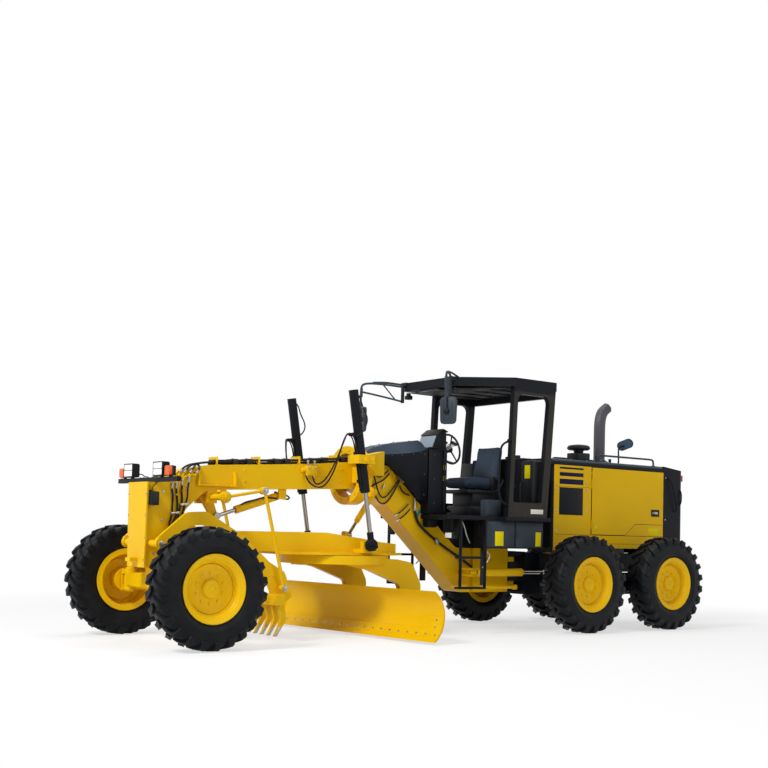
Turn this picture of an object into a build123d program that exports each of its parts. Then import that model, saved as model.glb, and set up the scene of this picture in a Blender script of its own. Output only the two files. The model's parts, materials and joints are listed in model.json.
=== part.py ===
from build123d import *
import math
import os

# Motor grader with an open canopy, a mid-mounted scarifier and an articulated frame.
# Lengths are millimetres. +X points forward, +Y to the driver's left, +Z up. While a piece is
# drawn its X stations are counted from the front axle; keep() then moves it so that the origin
# lies on the ground halfway along the machine.

# ---- running gear
WHEELBASE = 6200.0          # front axle to the middle of the tandem
TANDEM_SPACING = 1560.0     # between the two rear axles
TREAD = 2080.0              # between the wheels' middle planes
TYRE_R = 625.0
TYRE_W = 345.0
SEAT_R = 305.0              # 24 inch rim
RIM_W = 285.0
FLANGE_R = 350.0
FLANGE_T = 12.0
LUGS = 18                   # tread lugs on each side of a tyre, and facets round its casing
LUG_SWEEP = 66.0            # how far a lug's shoulder end runs ahead of its middle end
LUG_FOOT = 520.0
SPINDLE_R = 45.0
REAR_END = 8020.0           # front axle to the back of the radiator housing

# ---- clearances
FIT = 0.3                   # between faces that touch, slide or turn on each other
BODY_GAP = 6.0              # between bodies that pass each other
PANEL = 8.0                 # sheet metal of hood, cowl and canopy

# ---- front frame
BEAM_W = 300.0
NOSE_FACE = 290.0
NOSE_REAR = -150.0
NOSE_W = 380.0
NOSE_LOW = 800.0
NOSE_HIGH = 1700.0
LAMP_Y = 360.0
FLASHER_Y = 556.0
HITCH_X = -5000.0           # articulation pin
HITCH_R = 45.0
FRAME_LOW = 490.0
FRAME_HIGH = 1050.0
FRAME_REAR = -4850.0

# ---- front axle and steering
KINGPIN_Y = 800.0
KINGPIN_R = 28.0
BOSS_R = 60.0
AXLE_LOW = 565.0
AXLE_HIGH = 700.0
STEER_ARM = 220.0
TIE_ROD_R = 20.0
TIE_EYE_T = 44.0

# ---- drawbar, circle and blade
BALL_X = -300.0
BALL_Z = 1000.0
BALL_R = 70.0
CIRCLE_X = -2230.0
CIRCLE_R = 650.0
CIRCLE_RING = 130.0         # radial width of the ring
TEETH = 64                  # inside the ring
TOOTH = 26.0
CIRCLE_LOW = 850.0
CIRCLE_HIGH = 950.0
PLATE_T = 28.0
BLADE_YAW = 5.0             # degrees, left end back
BLADE_L = 3100.0
BLADE_T = 18.0
BLADE_LOW = 30.0
BLADE_HIGH = 593.0
BLADE_SAG = 150.0           # depth of the curve
EDGE_T = 12.0               # bolted cutting edge
EDGE_H = 140.0
END_BIT = 200.0
EDGE_X = -185.0             # cutting edge, from the circle's centre
PITCH_X = -620.0            # pitch pivot, from the circle's centre
PITCH_Z = 300.0
ARM_Y = 500.0
ARM_T = 70.0
RAIL = 50.0
SHIFT = 500.0               # side shift each way

# ---- lift cylinders
LIFT_Y = 655.0
TRUNNION_X = -2130.0
TRUNNION_Z = 2050.0
LIFT_EYE_X = -2300.0
LIFT_EYE_Z = 1077.0
LIFT_R = 55.0
LIFT_ROD_R = 26.0
LIFT_UP = 802.0             # barrel above the trunnion, along the cylinder
LIFT_DOWN = 381.0

# ---- scarifier
SCAR_X = 230.0              # draft arm pivot
SCAR_Z = 1057.0
SCAR_Y = 400.0
SCAR_ARM_T = 40.0
SCAR_W = 1180.0
PUSH_Y = 490.0              # middle plane of the push rods
SCAR_LEVER_X = -500.0       # cross shaft under the beam
SCAR_LEVER_Z = 1565.0
SCAR_EYE_X = -1240.0        # lower eye of the push rods
SCAR_EYE_Z = 587.0
SCAR_HEAD_X = -960.0        # upper eye of the push rods
SCAR_HEAD_Z = 1650.0
SCAR_CYL_Y = 45.0           # its middle plane, beside the middle lever
SCAR_CYL_R = 45.0
SCAR_CYL_X = -1420.0        # fixed pin of the scarifier cylinder
SCAR_CYL_Z = 1620.0
SCAR_ROD_X = -620.0         # its rod's eye on the middle lever
SCAR_ROD_Z = 1365.0

# ---- frame steering and drawbar shift cylinders
HITCH_CYL_Y = 400.0
HITCH_CYL_Z = 750.0
HITCH_CYL_FRONT = -4090.0
HITCH_CYL_REAR = -5320.0
SWING_X = -2560.0
SWING_R = 34.0
SWING_TOP = (330.0, 1700.0)     # Y and Z of the pin on the saddle
SWING_EYE = (-180.0, 1185.0)    # Y and Z of the eye behind the drawbar's ear

# ---- cab
FLOOR_Z = 1456.0
FLOOR_T = 50.0
CAB_HALF = 700.0
CAB_FRONT = -3410.0
CAB_REAR = -5020.0
ROOF_HIGH = 3200.0
ROOF_T = 110.0
CANOPY_HALF = 815.0
POST = 70.0
REAR_POST = 115.0
SEAT_X = -4060.0

# ---- rear frame and hood
RAIL_Y = 280.0
RAIL_W = 100.0
RAIL_LOW = 750.0
RAIL_HIGH = 1000.0
HOOD_HALF = 500.0
HOOD_FRONT = -5340.0
DOOR_FRONT = -6090.0
HOOD_REAR = -7580.0
HOOD_LOW = 1080.0
DOOR_LOW = 1258.0
DOOR_HIGH = 2172.0
HOOD_HIGH = 2262.0
DOOR_GAP = 6.0
HINGE_R = 10.0
HINGE_Y = HOOD_HALF + HINGE_R + FIT
HINGE_Z = (1400.0, 1950.0)

# ---- tow points
TOW_PIN_R = 20.0
TOW_Z = 680.0               # middle of the rear tow hitch
TOW_JAW = 60.0
TOW_X = -8060.0

ORIGIN_SHIFT = (REAR_END - TYRE_R) / 2
MID_AXLE = -(WHEELBASE - TANDEM_SPACING / 2)
REAR_AXLE = -(WHEELBASE + TANDEM_SPACING / 2)
WHEEL_Y = TREAD / 2


# ---- helpers
def keep(name, shape):
    """Write one node, moved to the machine's own origin."""
    export_step(Pos(ORIGIN_SHIFT, 0, 0) * shape, f"parts/{name}.step")


def block(x, y, z):
    """Box between the low and high station of each axis."""
    middle = [sum(pair) / 2 for pair in (x, y, z)]
    return Pos(*middle) * Box(*(abs(pair[1] - pair[0]) for pair in (x, y, z)))


def bar(start, end, radius):
    """Round bar between two points."""
    start, end = Vector(*start), Vector(*end)
    low = (Align.CENTER, Align.CENTER, Align.MIN)
    return Plane(start, z_dir=end - start) * Cylinder(radius, (end - start).length, align=low)


def drum(x, y, z, radius, axis):
    """Cylinder along one axis; the station on that axis is a (low, high) pair."""
    if axis == "X":
        return bar((x[0], y, z), (x[1], y, z), radius)
    if axis == "Y":
        return bar((x, y[0], z), (x, y[1], z), radius)
    return bar((x, y, z[0]), (x, y, z[1]), radius)


def outline(rows):
    """Closed face; each row is (u, v, corner radius)."""
    face = make_face(Polyline([(u, v) for u, v, _ in rows], close=True))
    for u, v, radius in rows:
        if radius:
            corner = face.vertices().sort_by_distance(Vector(u, v, 0))[0]
            face = fillet(corner, radius)
    return face


def side_cut(rows, y):
    """Side profile in X and Z, as wide as the (low, high) pair y."""
    middle, half = sum(y) / 2, (y[1] - y[0]) / 2
    return Pos(0, middle, 0) * extrude(Plane.XZ * outline(rows), half, both=True)


def plan_cut(rows, z):
    """Plan profile in X and Y, between two heights."""
    return extrude(Plane.XY.offset(z[0]) * outline(rows), z[1] - z[0])


def front_cut(rows, x):
    """Front profile in Y and Z, between two stations."""
    return extrude(Plane.YZ.offset(x[0]) * outline(rows), x[1] - x[0])


def mirrored(rows):
    """Rows of a half outline (u, v, radius) with v positive, closed by its mirror image."""
    return rows + [(u, -v, radius) for u, v, radius in reversed(rows)]


def both_sides(shape):
    """A left piece and its right twin."""
    return shape + mirror(shape, Plane.XZ)


# ---- wheels
def facet_loft(rows):
    """Many-sided ring body along +Z; each row is a station and a radius."""
    sides = 2 * LUGS if rows[0][1] < FLANGE_R + 20 else LUGS
    faces = [Plane.XY.offset(w) * RegularPolygon(radius, sides) for w, radius in rows]
    return loft(faces, ruled=True)


def tyre():
    """Tyre round its own middle: a faceted casing with two rows of slanting lugs."""
    bead, half = RIM_W / 2 - FIT, TYRE_W / 2
    side = [(half, 500), (half - 26, 570), (118, 592)]
    casing = facet_loft([(-w, radius) for w, radius in side] + side[::-1])
    pocket = facet_loft([(bead, FLANGE_R + 14), (half + 1, 452)])
    casing -= pocket + mirror(pocket, Plane.XY)
    seat_r = (SEAT_R + FIT) / math.cos(math.pi / (2 * LUGS))
    casing -= facet_loft([(-half, seat_r), (half, seat_r)])
    step = 180 / LUGS
    turn = math.radians(step / 2)
    top = (TYRE_R - LUG_SWEEP * math.sin(turn)) / math.cos(turn)
    rows = [(-60, 8, 0), (-6, 8, 0), (LUG_SWEEP, 165, 0), (0, 165, 0)]
    lug = front_cut(rows, (LUG_FOOT, top))
    pair = lug + Rot(0, 0, step) * mirror(lug, Plane.XY)
    lugs = [Rot(0, 0, 90 - step / 2 + 2 * step * number) * pair for number in range(LUGS)]
    return Rot(-90, 0, 0) * (casing + lugs)


def rim(outward):
    """Rim, dished disc and hub in one turned piece; outward is +1 left and -1 right."""
    half = RIM_W / 2
    rows = [
        (0, 100), (90, 92), (102, 52), (225, 44), (240, 66), (268, 72), (285, half - 10),
        (FLANGE_R - 18, half + FLANGE_T), (FLANGE_R, half + FLANGE_T), (FLANGE_R, half),
        (SEAT_R, half), (SEAT_R, -half), (FLANGE_R, -half), (FLANGE_R, -half - FLANGE_T),
        (SEAT_R - 17, -half - FLANGE_T), (285, 50), (262, 52), (244, 46), (229, 24),
        (130, 26), (130, -130), (SPINDLE_R + FIT, -130), (SPINDLE_R + FIT, 70), (0, 70),
    ]
    face = outline([(r, outward * w, 0) for r, w in rows])
    return revolve(face, Axis.Y)


def wheels():
    """Six wheels, each a tyre and a rim."""
    table = [("front", 0.0), ("middle", MID_AXLE), ("rear", REAR_AXLE)]
    for place, x in table:
        for side, outward in (("left", 1), ("right", -1)):
            at = Pos(x, outward * WHEEL_Y, TYRE_R)
            keep(f"tyre_{place}_{side}", at * tyre())
            keep(f"rim_{place}_{side}", at * rim(outward))


# ---- front frame
def front_frame():
    """Nose box, gooseneck beam and the low rear end with its hitch lugs."""
    half = BEAM_W / 2
    rows = [
        (NOSE_FACE, NOSE_LOW, 0), (NOSE_FACE, NOSE_HIGH, 0), (130, NOSE_HIGH, 0),
        (-120, 1850, 120), (-500, 1920, 0), (-1650, 1990, 0), (-2420, 2058, 0),
        (-2888, 2040, 120), (-3996, FRAME_HIGH, 150), (FRAME_REAR, FRAME_HIGH, 0),
        (FRAME_REAR, FRAME_LOW, 0), (-4060, FRAME_LOW, 150), (-2890, 1556, 150),
        (-2430, 1738, 0), (-850, 1665, 0), (-430, 1640, 150), (NOSE_REAR, 1400, 200),
        (NOSE_REAR, NOSE_LOW, 0),
    ]
    frame = side_cut(rows, (-half, half))
    frame += block((NOSE_REAR, NOSE_FACE), (-NOSE_W / 2, NOSE_W / 2), (NOSE_LOW, NOSE_HIGH))
    frame += block((FRAME_REAR, -4250), (-200, 200), (FRAME_LOW, FRAME_HIGH))
    for low in (560, 880):
        lug = plan_cut(mirrored([(FRAME_REAR, 160, 0), (HITCH_X, 110, 0)]), (low, low + 60))
        lug += drum(HITCH_X, 0, (low, low + 60), 110, "Z")
        frame += lug - drum(HITCH_X, 0, (low - 1, low + 61), HITCH_R + FIT, "Z")
    for x in ((105, 150), (-145, -105)):
        ear = block(x, (-90, 90), (AXLE_LOW + 20, NOSE_LOW))
        frame += ear
    frame += both_sides(drum(SCAR_X, (NOSE_W / 2, SCAR_Y + SCAR_ARM_T / 2 + 20), SCAR_Z, 38, "Y"))
    cover = [(206, NOSE_LOW, 0), (230, NOSE_HIGH, 0), (-230, NOSE_HIGH, 0), (-206, NOSE_LOW, 0)]
    frame += front_cut(cover, (NOSE_FACE, NOSE_FACE + 20))
    eye = block((NOSE_FACE + 19, NOSE_FACE + 110), (-60, 60), (860, 900))
    frame += eye - drum(NOSE_FACE + 65, 0, (859, 901), TOW_PIN_R, "Z")
    socket = drum((BALL_X - 20, NOSE_REAR + 1), 0, BALL_Z, BALL_R + 30, "X")
    frame += socket - Pos(BALL_X, 0, BALL_Z) * Sphere(BALL_R + FIT)
    frame += both_sides(hitch_cylinder_bracket() + beam_pocket())
    return frame + scarifier_brackets()


def beam_pocket():
    """Flared pocket on the left side of the beam: two ears and a floor."""
    flank = BEAM_W / 2
    rows = [(flank - 1, 1690, 0), (flank - 1, 1850, 0), (flank + 15, 1850, 0),
            (flank + 55, 1770, 0), (flank + 50, 1690, 0)]
    piece = block((-770, -310), (flank - 1, flank + 50), (1688, 1702))
    for x in (-770, -324):
        piece += front_cut(rows, (x, x + 14))
    return piece


def hitch_cylinder_bracket():
    """Two plates and a pin that hold the front eye of the left frame steering cylinder."""
    x, y, z, half = HITCH_CYL_FRONT, HITCH_CYL_Y, HITCH_CYL_Z, 30 + FIT
    piece = drum(x, y, (z - half - 20, z + half + 20), 20, "Z")
    for low in (z - half - 20, z + half):
        piece += block((x - 25, x + 60), (BEAM_W / 2 - 20, y + 45), (low, low + 20))
    return piece


def scarifier_brackets():
    """Bearings of the scarifier's cross shaft and the ears of its cylinder, below the beam."""
    x, z = SCAR_LEVER_X, SCAR_LEVER_Z
    bearing = block((x - 60, x + 60), (110, BEAM_W / 2), (z - 65, 1680))
    bearing -= drum(x, (109, BEAM_W / 2 + 1), z, 35 + FIT, "Y")
    piece = both_sides(bearing)
    x, z = SCAR_CYL_X, SCAR_CYL_Z
    inner = SCAR_CYL_Y + SCAR_CYL_R + BODY_GAP
    piece += block((x - 50, x + 50), (inner, inner + 20), (z - 45, 1700))
    return piece + drum(x, (SCAR_CYL_Y - 30, inner + 20), z, 20, "Y")


def lamp_bar():
    """Cross bar on the nose with two headlamps and two turn lamps."""
    low = NOSE_HIGH + FIT
    bar_piece = block((165, 215), (-716, 716), (low, low + 50))
    for y in (-LAMP_Y, LAMP_Y):
        lamp = block((165, 262), (y - 110, y + 110), (low + 57, low + 207))
        lamp = fillet(lamp.edges().group_by(Axis.X)[0], 35)
        bar_piece += lamp + drum(205, y, (low + 49, low + 60), 20, "Z")
    for y in (-FLASHER_Y, FLASHER_Y):
        bar_piece += block((175, 250), (y - 52, y + 52), (low + 62, low + 160))
        bar_piece += drum(205, y, (low + 49, low + 65), 20, "Z")
    return bar_piece


# ---- front axle and steering
def front_axle():
    """Axle beam with a boss for each kingpin and the spigot it swings on."""
    flat = KINGPIN_Y - BOSS_R - 20
    rows = [
        (-KINGPIN_Y, AXLE_LOW, 0), (KINGPIN_Y, AXLE_LOW, 0), (KINGPIN_Y, AXLE_HIGH, 0),
        (flat, AXLE_HIGH, 0), (240, AXLE_HIGH + 35, 0), (-240, AXLE_HIGH + 35, 0),
        (-flat, AXLE_HIGH, 0), (-KINGPIN_Y, AXLE_HIGH, 0),
    ]
    beam = front_cut(rows, (-105 + FIT, 105 - FIT))
    plan = [
        (105, -420, 0), (105, 420, 0), (50, KINGPIN_Y, 0), (-50, KINGPIN_Y, 0),
        (-105, 420, 0), (-105, -420, 0), (-50, -KINGPIN_Y, 0), (50, -KINGPIN_Y, 0),
    ]
    beam &= plan_cut(plan, (AXLE_LOW - 50, AXLE_HIGH + 100))
    boss = drum(0, KINGPIN_Y, (AXLE_LOW, AXLE_HIGH), BOSS_R, "Z")
    beam += both_sides(boss)
    beam -= both_sides(drum(0, KINGPIN_Y, (AXLE_LOW - 1, AXLE_HIGH + 1), KINGPIN_R + FIT, "Z"))
    return beam


def knuckle():
    """Left knuckle: fork round the axle's boss, kingpin, spindle and steering arm."""
    plate = (KINGPIN_Y + BOSS_R + 8, WHEEL_Y - 150)
    piece = drum(0, KINGPIN_Y, (AXLE_LOW - 50, AXLE_HIGH + 50), KINGPIN_R, "Z")
    for low in (AXLE_LOW - 1 - 48, AXLE_HIGH + 1):
        ear = drum(0, KINGPIN_Y, (low, low + 48), BOSS_R, "Z")
        piece += ear + block((-BOSS_R, BOSS_R), (KINGPIN_Y, plate[1]), (low, low + 48))
    piece += block((-BOSS_R, BOSS_R), plate, (AXLE_LOW - 49, AXLE_HIGH + 49))
    piece += drum(0, (plate[0], WHEEL_Y + 60), TYRE_R, SPINDLE_R, "Y")
    low = AXLE_LOW - 49
    piece += block((-STEER_ARM, 0), (KINGPIN_Y - 24, KINGPIN_Y + 24), (low, low + 45))
    piece += drum(-STEER_ARM, KINGPIN_Y, (low, low + 45), 34, "Z")
    return piece


def tie_rod():
    """Rod across the back of the axle; its eyes lie on the two steering arms."""
    low = AXLE_LOW - 4 + FIT
    piece = drum(-STEER_ARM, (-KINGPIN_Y, KINGPIN_Y), low + TIE_EYE_T / 2, TIE_ROD_R, "Y")
    eye = drum(-STEER_ARM, KINGPIN_Y, (low, low + TIE_EYE_T), 34, "Z")
    return piece + both_sides(eye)


# ---- lift saddle
def lift_saddle():
    """Hoop round the beam with an arm and a collar for each lift cylinder."""
    inner, middle = BEAM_W / 2 + FIT, 1898
    hoop = drum((-2520, -2360), 0, middle, 352, "X")
    hoop -= drum((-2521, -2359), 0, middle, 262, "X")
    for y in (-1, 1):
        hoop += block((-2520, -2360), sorted((y * inner, y * 300)), (middle - 95, middle + 95))
    arm = plan_cut(
        [(-2640, 250, 0), (-2520, 250, 0), (-2360, 330, 0), (-2200, 560, 0),
         (-2215, 660, 0), (-2300, 640, 0), (-2480, 470, 0), (-2640, 410, 0)], (1890, 2190))
    arm &= side_cut(
        [(-2640, 1895, 0), (-2640, 2185, 0), (-2480, 2150, 0), (-2200, 2105, 0),
         (-2200, 1995, 0), (-2480, 1895, 0)], (200, 700))
    reach = LIFT_R + 30
    collar = block((TRUNNION_X - reach - 30, TRUNNION_X + reach + 30),
                   (LIFT_Y - reach - 25, LIFT_Y + reach + 25), (TRUNNION_Z - 50, TRUNNION_Z + 50))
    collar -= block((TRUNNION_X - reach, TRUNNION_X + reach),
                    (LIFT_Y - reach, LIFT_Y + reach), (TRUNNION_Z - 51, TRUNNION_Z + 51))
    collar -= drum(TRUNNION_X, (LIFT_Y - 200, LIFT_Y + 200), TRUNNION_Z, 25 + FIT, "Y")
    y, z = SWING_TOP
    lug = drum((SWING_X + SWING_R + BODY_GAP, -2490), y, z, 60, "X")
    lug += drum((SWING_X - 24, SWING_X + 70), y, z, 20, "X")
    return hoop + both_sides(arm + collar) + lug


LIFT_LINE = math.degrees(math.atan2(TRUNNION_X - LIFT_EYE_X, TRUNNION_Z - LIFT_EYE_Z))
LIFT_LEN = math.hypot(TRUNNION_X - LIFT_EYE_X, TRUNNION_Z - LIFT_EYE_Z)


def lift_place(side):
    """Frame of one lift cylinder: its Z runs up the barrel from the trunnion."""
    return Pos(TRUNNION_X, side * LIFT_Y, TRUNNION_Z) * Rot(0, LIFT_LINE, 0)


def lift_barrel(side):
    """Barrel, gland and trunnion stubs."""
    low = (Align.CENTER, Align.CENTER, Align.MIN)
    barrel = Pos(0, 0, -LIFT_DOWN) * Cylinder(LIFT_R, LIFT_UP + LIFT_DOWN, align=low)
    bore = LIFT_UP + LIFT_DOWN - 60
    barrel -= Pos(0, 0, -LIFT_DOWN + 40) * Cylinder(LIFT_R - 12, bore - 40, align=low)
    barrel -= Pos(0, 0, -LIFT_DOWN - 1) * Cylinder(LIFT_ROD_R + FIT, 60, align=low)
    barrel += Pos(0, 0, -45) * (Cylinder(LIFT_R + 12, 90, align=low)
                                - Cylinder(LIFT_R - 12, 90, align=low))
    for y in (-1, 1):
        barrel += Rot(90, 0, 0) * Pos(0, 0, y * (LIFT_R + 35)) * Cylinder(25, 60)
    return lift_place(side) * barrel


def lift_rod(side):
    """Chrome rod, its piston and the black eye on the drawbar's pin."""
    low = (Align.CENTER, Align.CENTER, Align.MIN)
    piston = -LIFT_DOWN + 400
    rod_piece = Pos(0, 0, -LIFT_LEN + 20) * Cylinder(LIFT_ROD_R, LIFT_LEN - 20 + piston, align=low)
    rod_piece += Pos(0, 0, piston) * Cylinder(LIFT_R - 12 - FIT, 50, align=low)
    rod_piece += Pos(0, 0, -LIFT_LEN) * Rot(90, 0, 0) * Cylinder(70, 60)
    rod_piece += Pos(0, 0, -LIFT_LEN + 60) * Cylinder(38, 90, align=low)
    return lift_place(side) * rod_piece


# ---- drawbar, circle and blade
def drawbar():
    """Closed box that widens to the rear, the circle plate with its guide shoes, and the ears."""
    rows = mirrored([(BALL_X - 60, 55, 0), (-560, 80, 0), (-900, 130, 0), (-1900, 330, 0),
                     (-2300, 450, 0), (-2560, 450, 0), (-2900, 330, 0)])
    box_piece = plan_cut(rows, (983, 1240))
    box_piece &= side_cut([(BALL_X - 60, 985, 0), (BALL_X - 60, 1060, 0), (-900, 1205, 60),
                           (-1900, 1208, 80), (-2600, 1110, 0), (-2900, 1090, 0), (-2900, 983, 0),
                           (-700, 983, 0)], (-600, 600))
    plate = plan_cut(mirrored([(-1300, 200, 0), (-1560, 420, 0), (-1900, 560, 0),
                               (-2600, 560, 0), (-2990, 330, 0)]), (983 - PLATE_T, 983))
    piece = box_piece + plate + Pos(BALL_X, 0, BALL_Z) * Sphere(BALL_R)
    piece += drum((BALL_X - 100, BALL_X), 0, BALL_Z, 42, "X")
    inner, outer = 400, LIFT_Y - 30 - FIT
    ear = block((LIFT_EYE_X - 90, LIFT_EYE_X + 90), (outer - 60, outer), (984, LIFT_EYE_Z + 40))
    ear += block((LIFT_EYE_X - 90, LIFT_EYE_X + 90), (inner, outer), (984, 1030))
    y, z = SWING_EYE
    piece += front_cut([(y - 60, 1000, 0), (y - 40, z + 45, 30), (y + 40, z + 45, 30),
                        (y + 60, 1000, 0)], (SWING_X + SWING_R + BODY_GAP, SWING_X + 74))
    for way in (-1, 1):
        x = CIRCLE_X + way * (CIRCLE_R - CIRCLE_RING)
        hanger = sorted((x - way * 95, x - way * (TOOTH + 20)))
        lip = sorted((x - way * 95, x + way * 15))
        piece += block(hanger, (-100, 100), (CIRCLE_LOW - FIT - 20, 983))
        piece += block(lip, (-100, 100), (CIRCLE_LOW - FIT - 20, CIRCLE_LOW - FIT))
    return piece + both_sides(ear)


def circle():
    """Ring under the drawbar and the two curved arms that carry the blade."""
    low, high = CIRCLE_LOW, CIRCLE_HIGH
    root, tip = CIRCLE_R - CIRCLE_RING, CIRCLE_R - CIRCLE_RING - TOOTH
    gear = []
    for number in range(TEETH):
        middle = number * math.tau / TEETH
        for radius, half in ((root, -16), (tip, -8), (tip, 8), (root, 16)):
            angle = middle + half / radius
            gear.append((radius * math.cos(angle), radius * math.sin(angle), 0))
    ring = drum(0, 0, (low, high), CIRCLE_R, "Z") - plan_cut(gear, (low - 1, high + 1))
    rows = [
        (340, high - 8, 0), (-540, high - 40, 60), (-780, 870, 120), (-935, 600, 160),
        (-900, 420, 120), (PITCH_X - 60, PITCH_Z - 50, 40), (PITCH_X + 70, PITCH_Z - 40, 60),
        (PITCH_X + 50, PITCH_Z + 120, 60), (-600, 610, 80), (-80, 790, 200), (340, low + 10, 0),
    ]
    arm = side_cut(rows, (ARM_Y - ARM_T / 2, ARM_Y + ARM_T / 2))
    arm -= drum(PITCH_X, (ARM_Y - ARM_T, ARM_Y + ARM_T), PITCH_Z, 30 + FIT, "Y")
    return Pos(CIRCLE_X, 0, 0) * Rot(0, 0, BLADE_YAW) * (ring + both_sides(arm))


def blade_curve(low, high):
    """Three points of the moldboard's face: lower edge, deepest point, upper edge."""
    middle = (low + high) / 2
    return (EDGE_X, low), (EDGE_X + 10 - BLADE_SAG, middle), (EDGE_X + 20, high)


def rail_centres():
    """Centre of the lower and the upper slide rail behind the moldboard."""
    return [(EDGE_X - 190, 190), (EDGE_X - 175, 490)]


def moldboard():
    """Curved blade with its two slide rails, end plates and the shift rod."""
    curve = blade_curve(BLADE_LOW, BLADE_HIGH)
    back = [(x - BLADE_T, z) for x, z in curve]
    lines = [
        ThreePointArc(*curve), Line(curve[2], back[2]),
        ThreePointArc(back[2], back[1], back[0]), Line(back[0], curve[0]),
    ]
    section = make_face(lines)
    half = BLADE_L / 2
    piece = extrude(Plane.XZ * section, half, both=True)
    ahead = Pos(EDGE_T, 0, 0) * piece
    piece += ahead & block((-900, 0), (-half, half), (BLADE_LOW, BLADE_LOW + EDGE_H))
    for y in (-half, half - END_BIT):
        piece += ahead & block((-900, 0), (y, y + END_BIT), (BLADE_LOW, BLADE_LOW + 2 * EDGE_H))
    reach = half - 200
    for (x, z), web in zip(rail_centres(), (65, 78)):
        piece += block((x - RAIL / 2, x + RAIL / 2), (-reach, reach), (z - RAIL / 2, z + RAIL / 2))
        piece += block((x, x + web), (-reach, reach), (z - 8, z + 8))
    y = SHIFT + 620
    piece += block((PITCH_X + 150, EDGE_X - 150), (y, y + 24), (300, 380))
    piece += drum(PITCH_X + 190, (80, y + 12), 340, 20, "Y")
    return Pos(CIRCLE_X, 0, 0) * Rot(0, 0, BLADE_YAW) * piece


def blade_carrier():
    """Two tilting plates with rail shoes, the pitch pins and the side shift barrel."""
    inner = ARM_Y - ARM_T / 2 - BODY_GAP
    (low_x, low_z), (high_x, high_z) = rail_centres()
    rows = [(PITCH_X - 55, PITCH_Z - 45, 40), (low_x - 40, low_z - 45, 0), (low_x - 40, low_z + 45, 0),
            (high_x - 45, high_z - 45, 0), (high_x - 45, high_z + 45, 0), (PITCH_X - 55, PITCH_Z + 60, 40)]
    plate = side_cut(rows, (inner - 50, inner))
    for x, z in rail_centres():
        shoe = block((x - 50, x + RAIL / 2 + 4), (inner - 90, inner), (z - 50, z + 50))
        plate += shoe
    for x, z in rail_centres():
        hole = RAIL / 2 + 1
        plate -= block((x - hole, x + hole), (0, 999), (z - hole, z + hole))
        plate -= block((x, x + 99), (0, 999), (z - 9, z + 9))
    plate += drum(PITCH_X, (inner - 50, ARM_Y + ARM_T / 2 + 15), PITCH_Z, 30, "Y")
    piece = both_sides(plate)
    piece += drum(PITCH_X + 190, (-480, 600), 340, 40, "Y")
    piece -= drum(PITCH_X + 190, (-440, 601), 340, 20 + FIT, "Y")
    return Pos(CIRCLE_X, 0, 0) * Rot(0, 0, BLADE_YAW) * piece


# ---- scarifier
def scarifier():
    """Arched draft arms, side plates, tool bar and teeth."""
    inner, outer = SCAR_Y - SCAR_ARM_T / 2, SCAR_Y + SCAR_ARM_T / 2
    rows = [
        (SCAR_X + 55, SCAR_Z - 45, 50), (SCAR_X + 45, SCAR_Z + 50, 50), (-60, 1390, 150),
        (-300, 1405, 150), (-760, 1150, 100), (-1090, 870, 0), (-1290, 760, 60), (-1400, 470, 60),
        (-1180, 400, 60), (-1010, 760, 60), (-700, 1000, 100), (-280, 1260, 150), (-120, 1250, 100),
        (SCAR_X - 50, SCAR_Z - 40, 40),
    ]
    arm = side_cut(rows, (inner, outer))
    arm -= drum(SCAR_X, (inner - 9, outer + 9), SCAR_Z, 38 + FIT, "Y")
    arm += drum(SCAR_EYE_X, (outer, PUSH_Y + 40), SCAR_EYE_Z, 25, "Y")
    piece = both_sides(arm)
    half = SCAR_W / 2
    piece += block((-1200, -1080), (-half, half), (405, 520))
    count = 9
    for step in range(count):
        y = -half + 30 + step * (SCAR_W - 60) / (count - 1)
        tooth = side_cut([(-1120, 410, 0), (-1160, 250, 0), (-1080, 70, 0), (-1110, 70, 0),
                          (-1235, 250, 0), (-1190, 410, 0)], (y - 18, y + 18))
        piece += tooth
    return piece


def scarifier_lever():
    """Cross shaft under the beam with two outer levers and the middle one."""
    x, z = SCAR_LEVER_X, SCAR_LEVER_Z
    outer = PUSH_Y - 20 - FIT
    lever = bar((x, outer - 20, z), (SCAR_HEAD_X, outer - 20, SCAR_HEAD_Z), 18)
    lever += drum(x, (outer - 60, outer), z, 60, "Y")
    lever += drum(SCAR_HEAD_X, (outer - 38, outer), SCAR_HEAD_Z, 42, "Y")
    piece = both_sides(lever) + drum(x, (-outer, outer), z, 35, "Y")
    middle = side_cut([(x - 60, z + 30, 30), (x + 55, z + 30, 30), (x + 40, z - 60, 0),
                       (SCAR_ROD_X + 40, SCAR_ROD_Z - 40, 30), (SCAR_ROD_X - 40, SCAR_ROD_Z - 30, 30)],
                      (-20, 20))
    return piece + middle


def push_rods():
    """Rods between the levers and the scarifier's side plates."""
    low, high = (SCAR_EYE_X, PUSH_Y, SCAR_EYE_Z), (SCAR_HEAD_X, PUSH_Y, SCAR_HEAD_Z)
    rod_piece = bar(low, high, 19)
    for x, _, z in (low, high):
        rod_piece += drum(x, (PUSH_Y - 20, PUSH_Y + 20), z, 42, "Y")
    rod_piece -= drum(low[0], (PUSH_Y - 21, PUSH_Y + 21), low[2], 25 + FIT, "Y")
    return both_sides(rod_piece)


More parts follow.
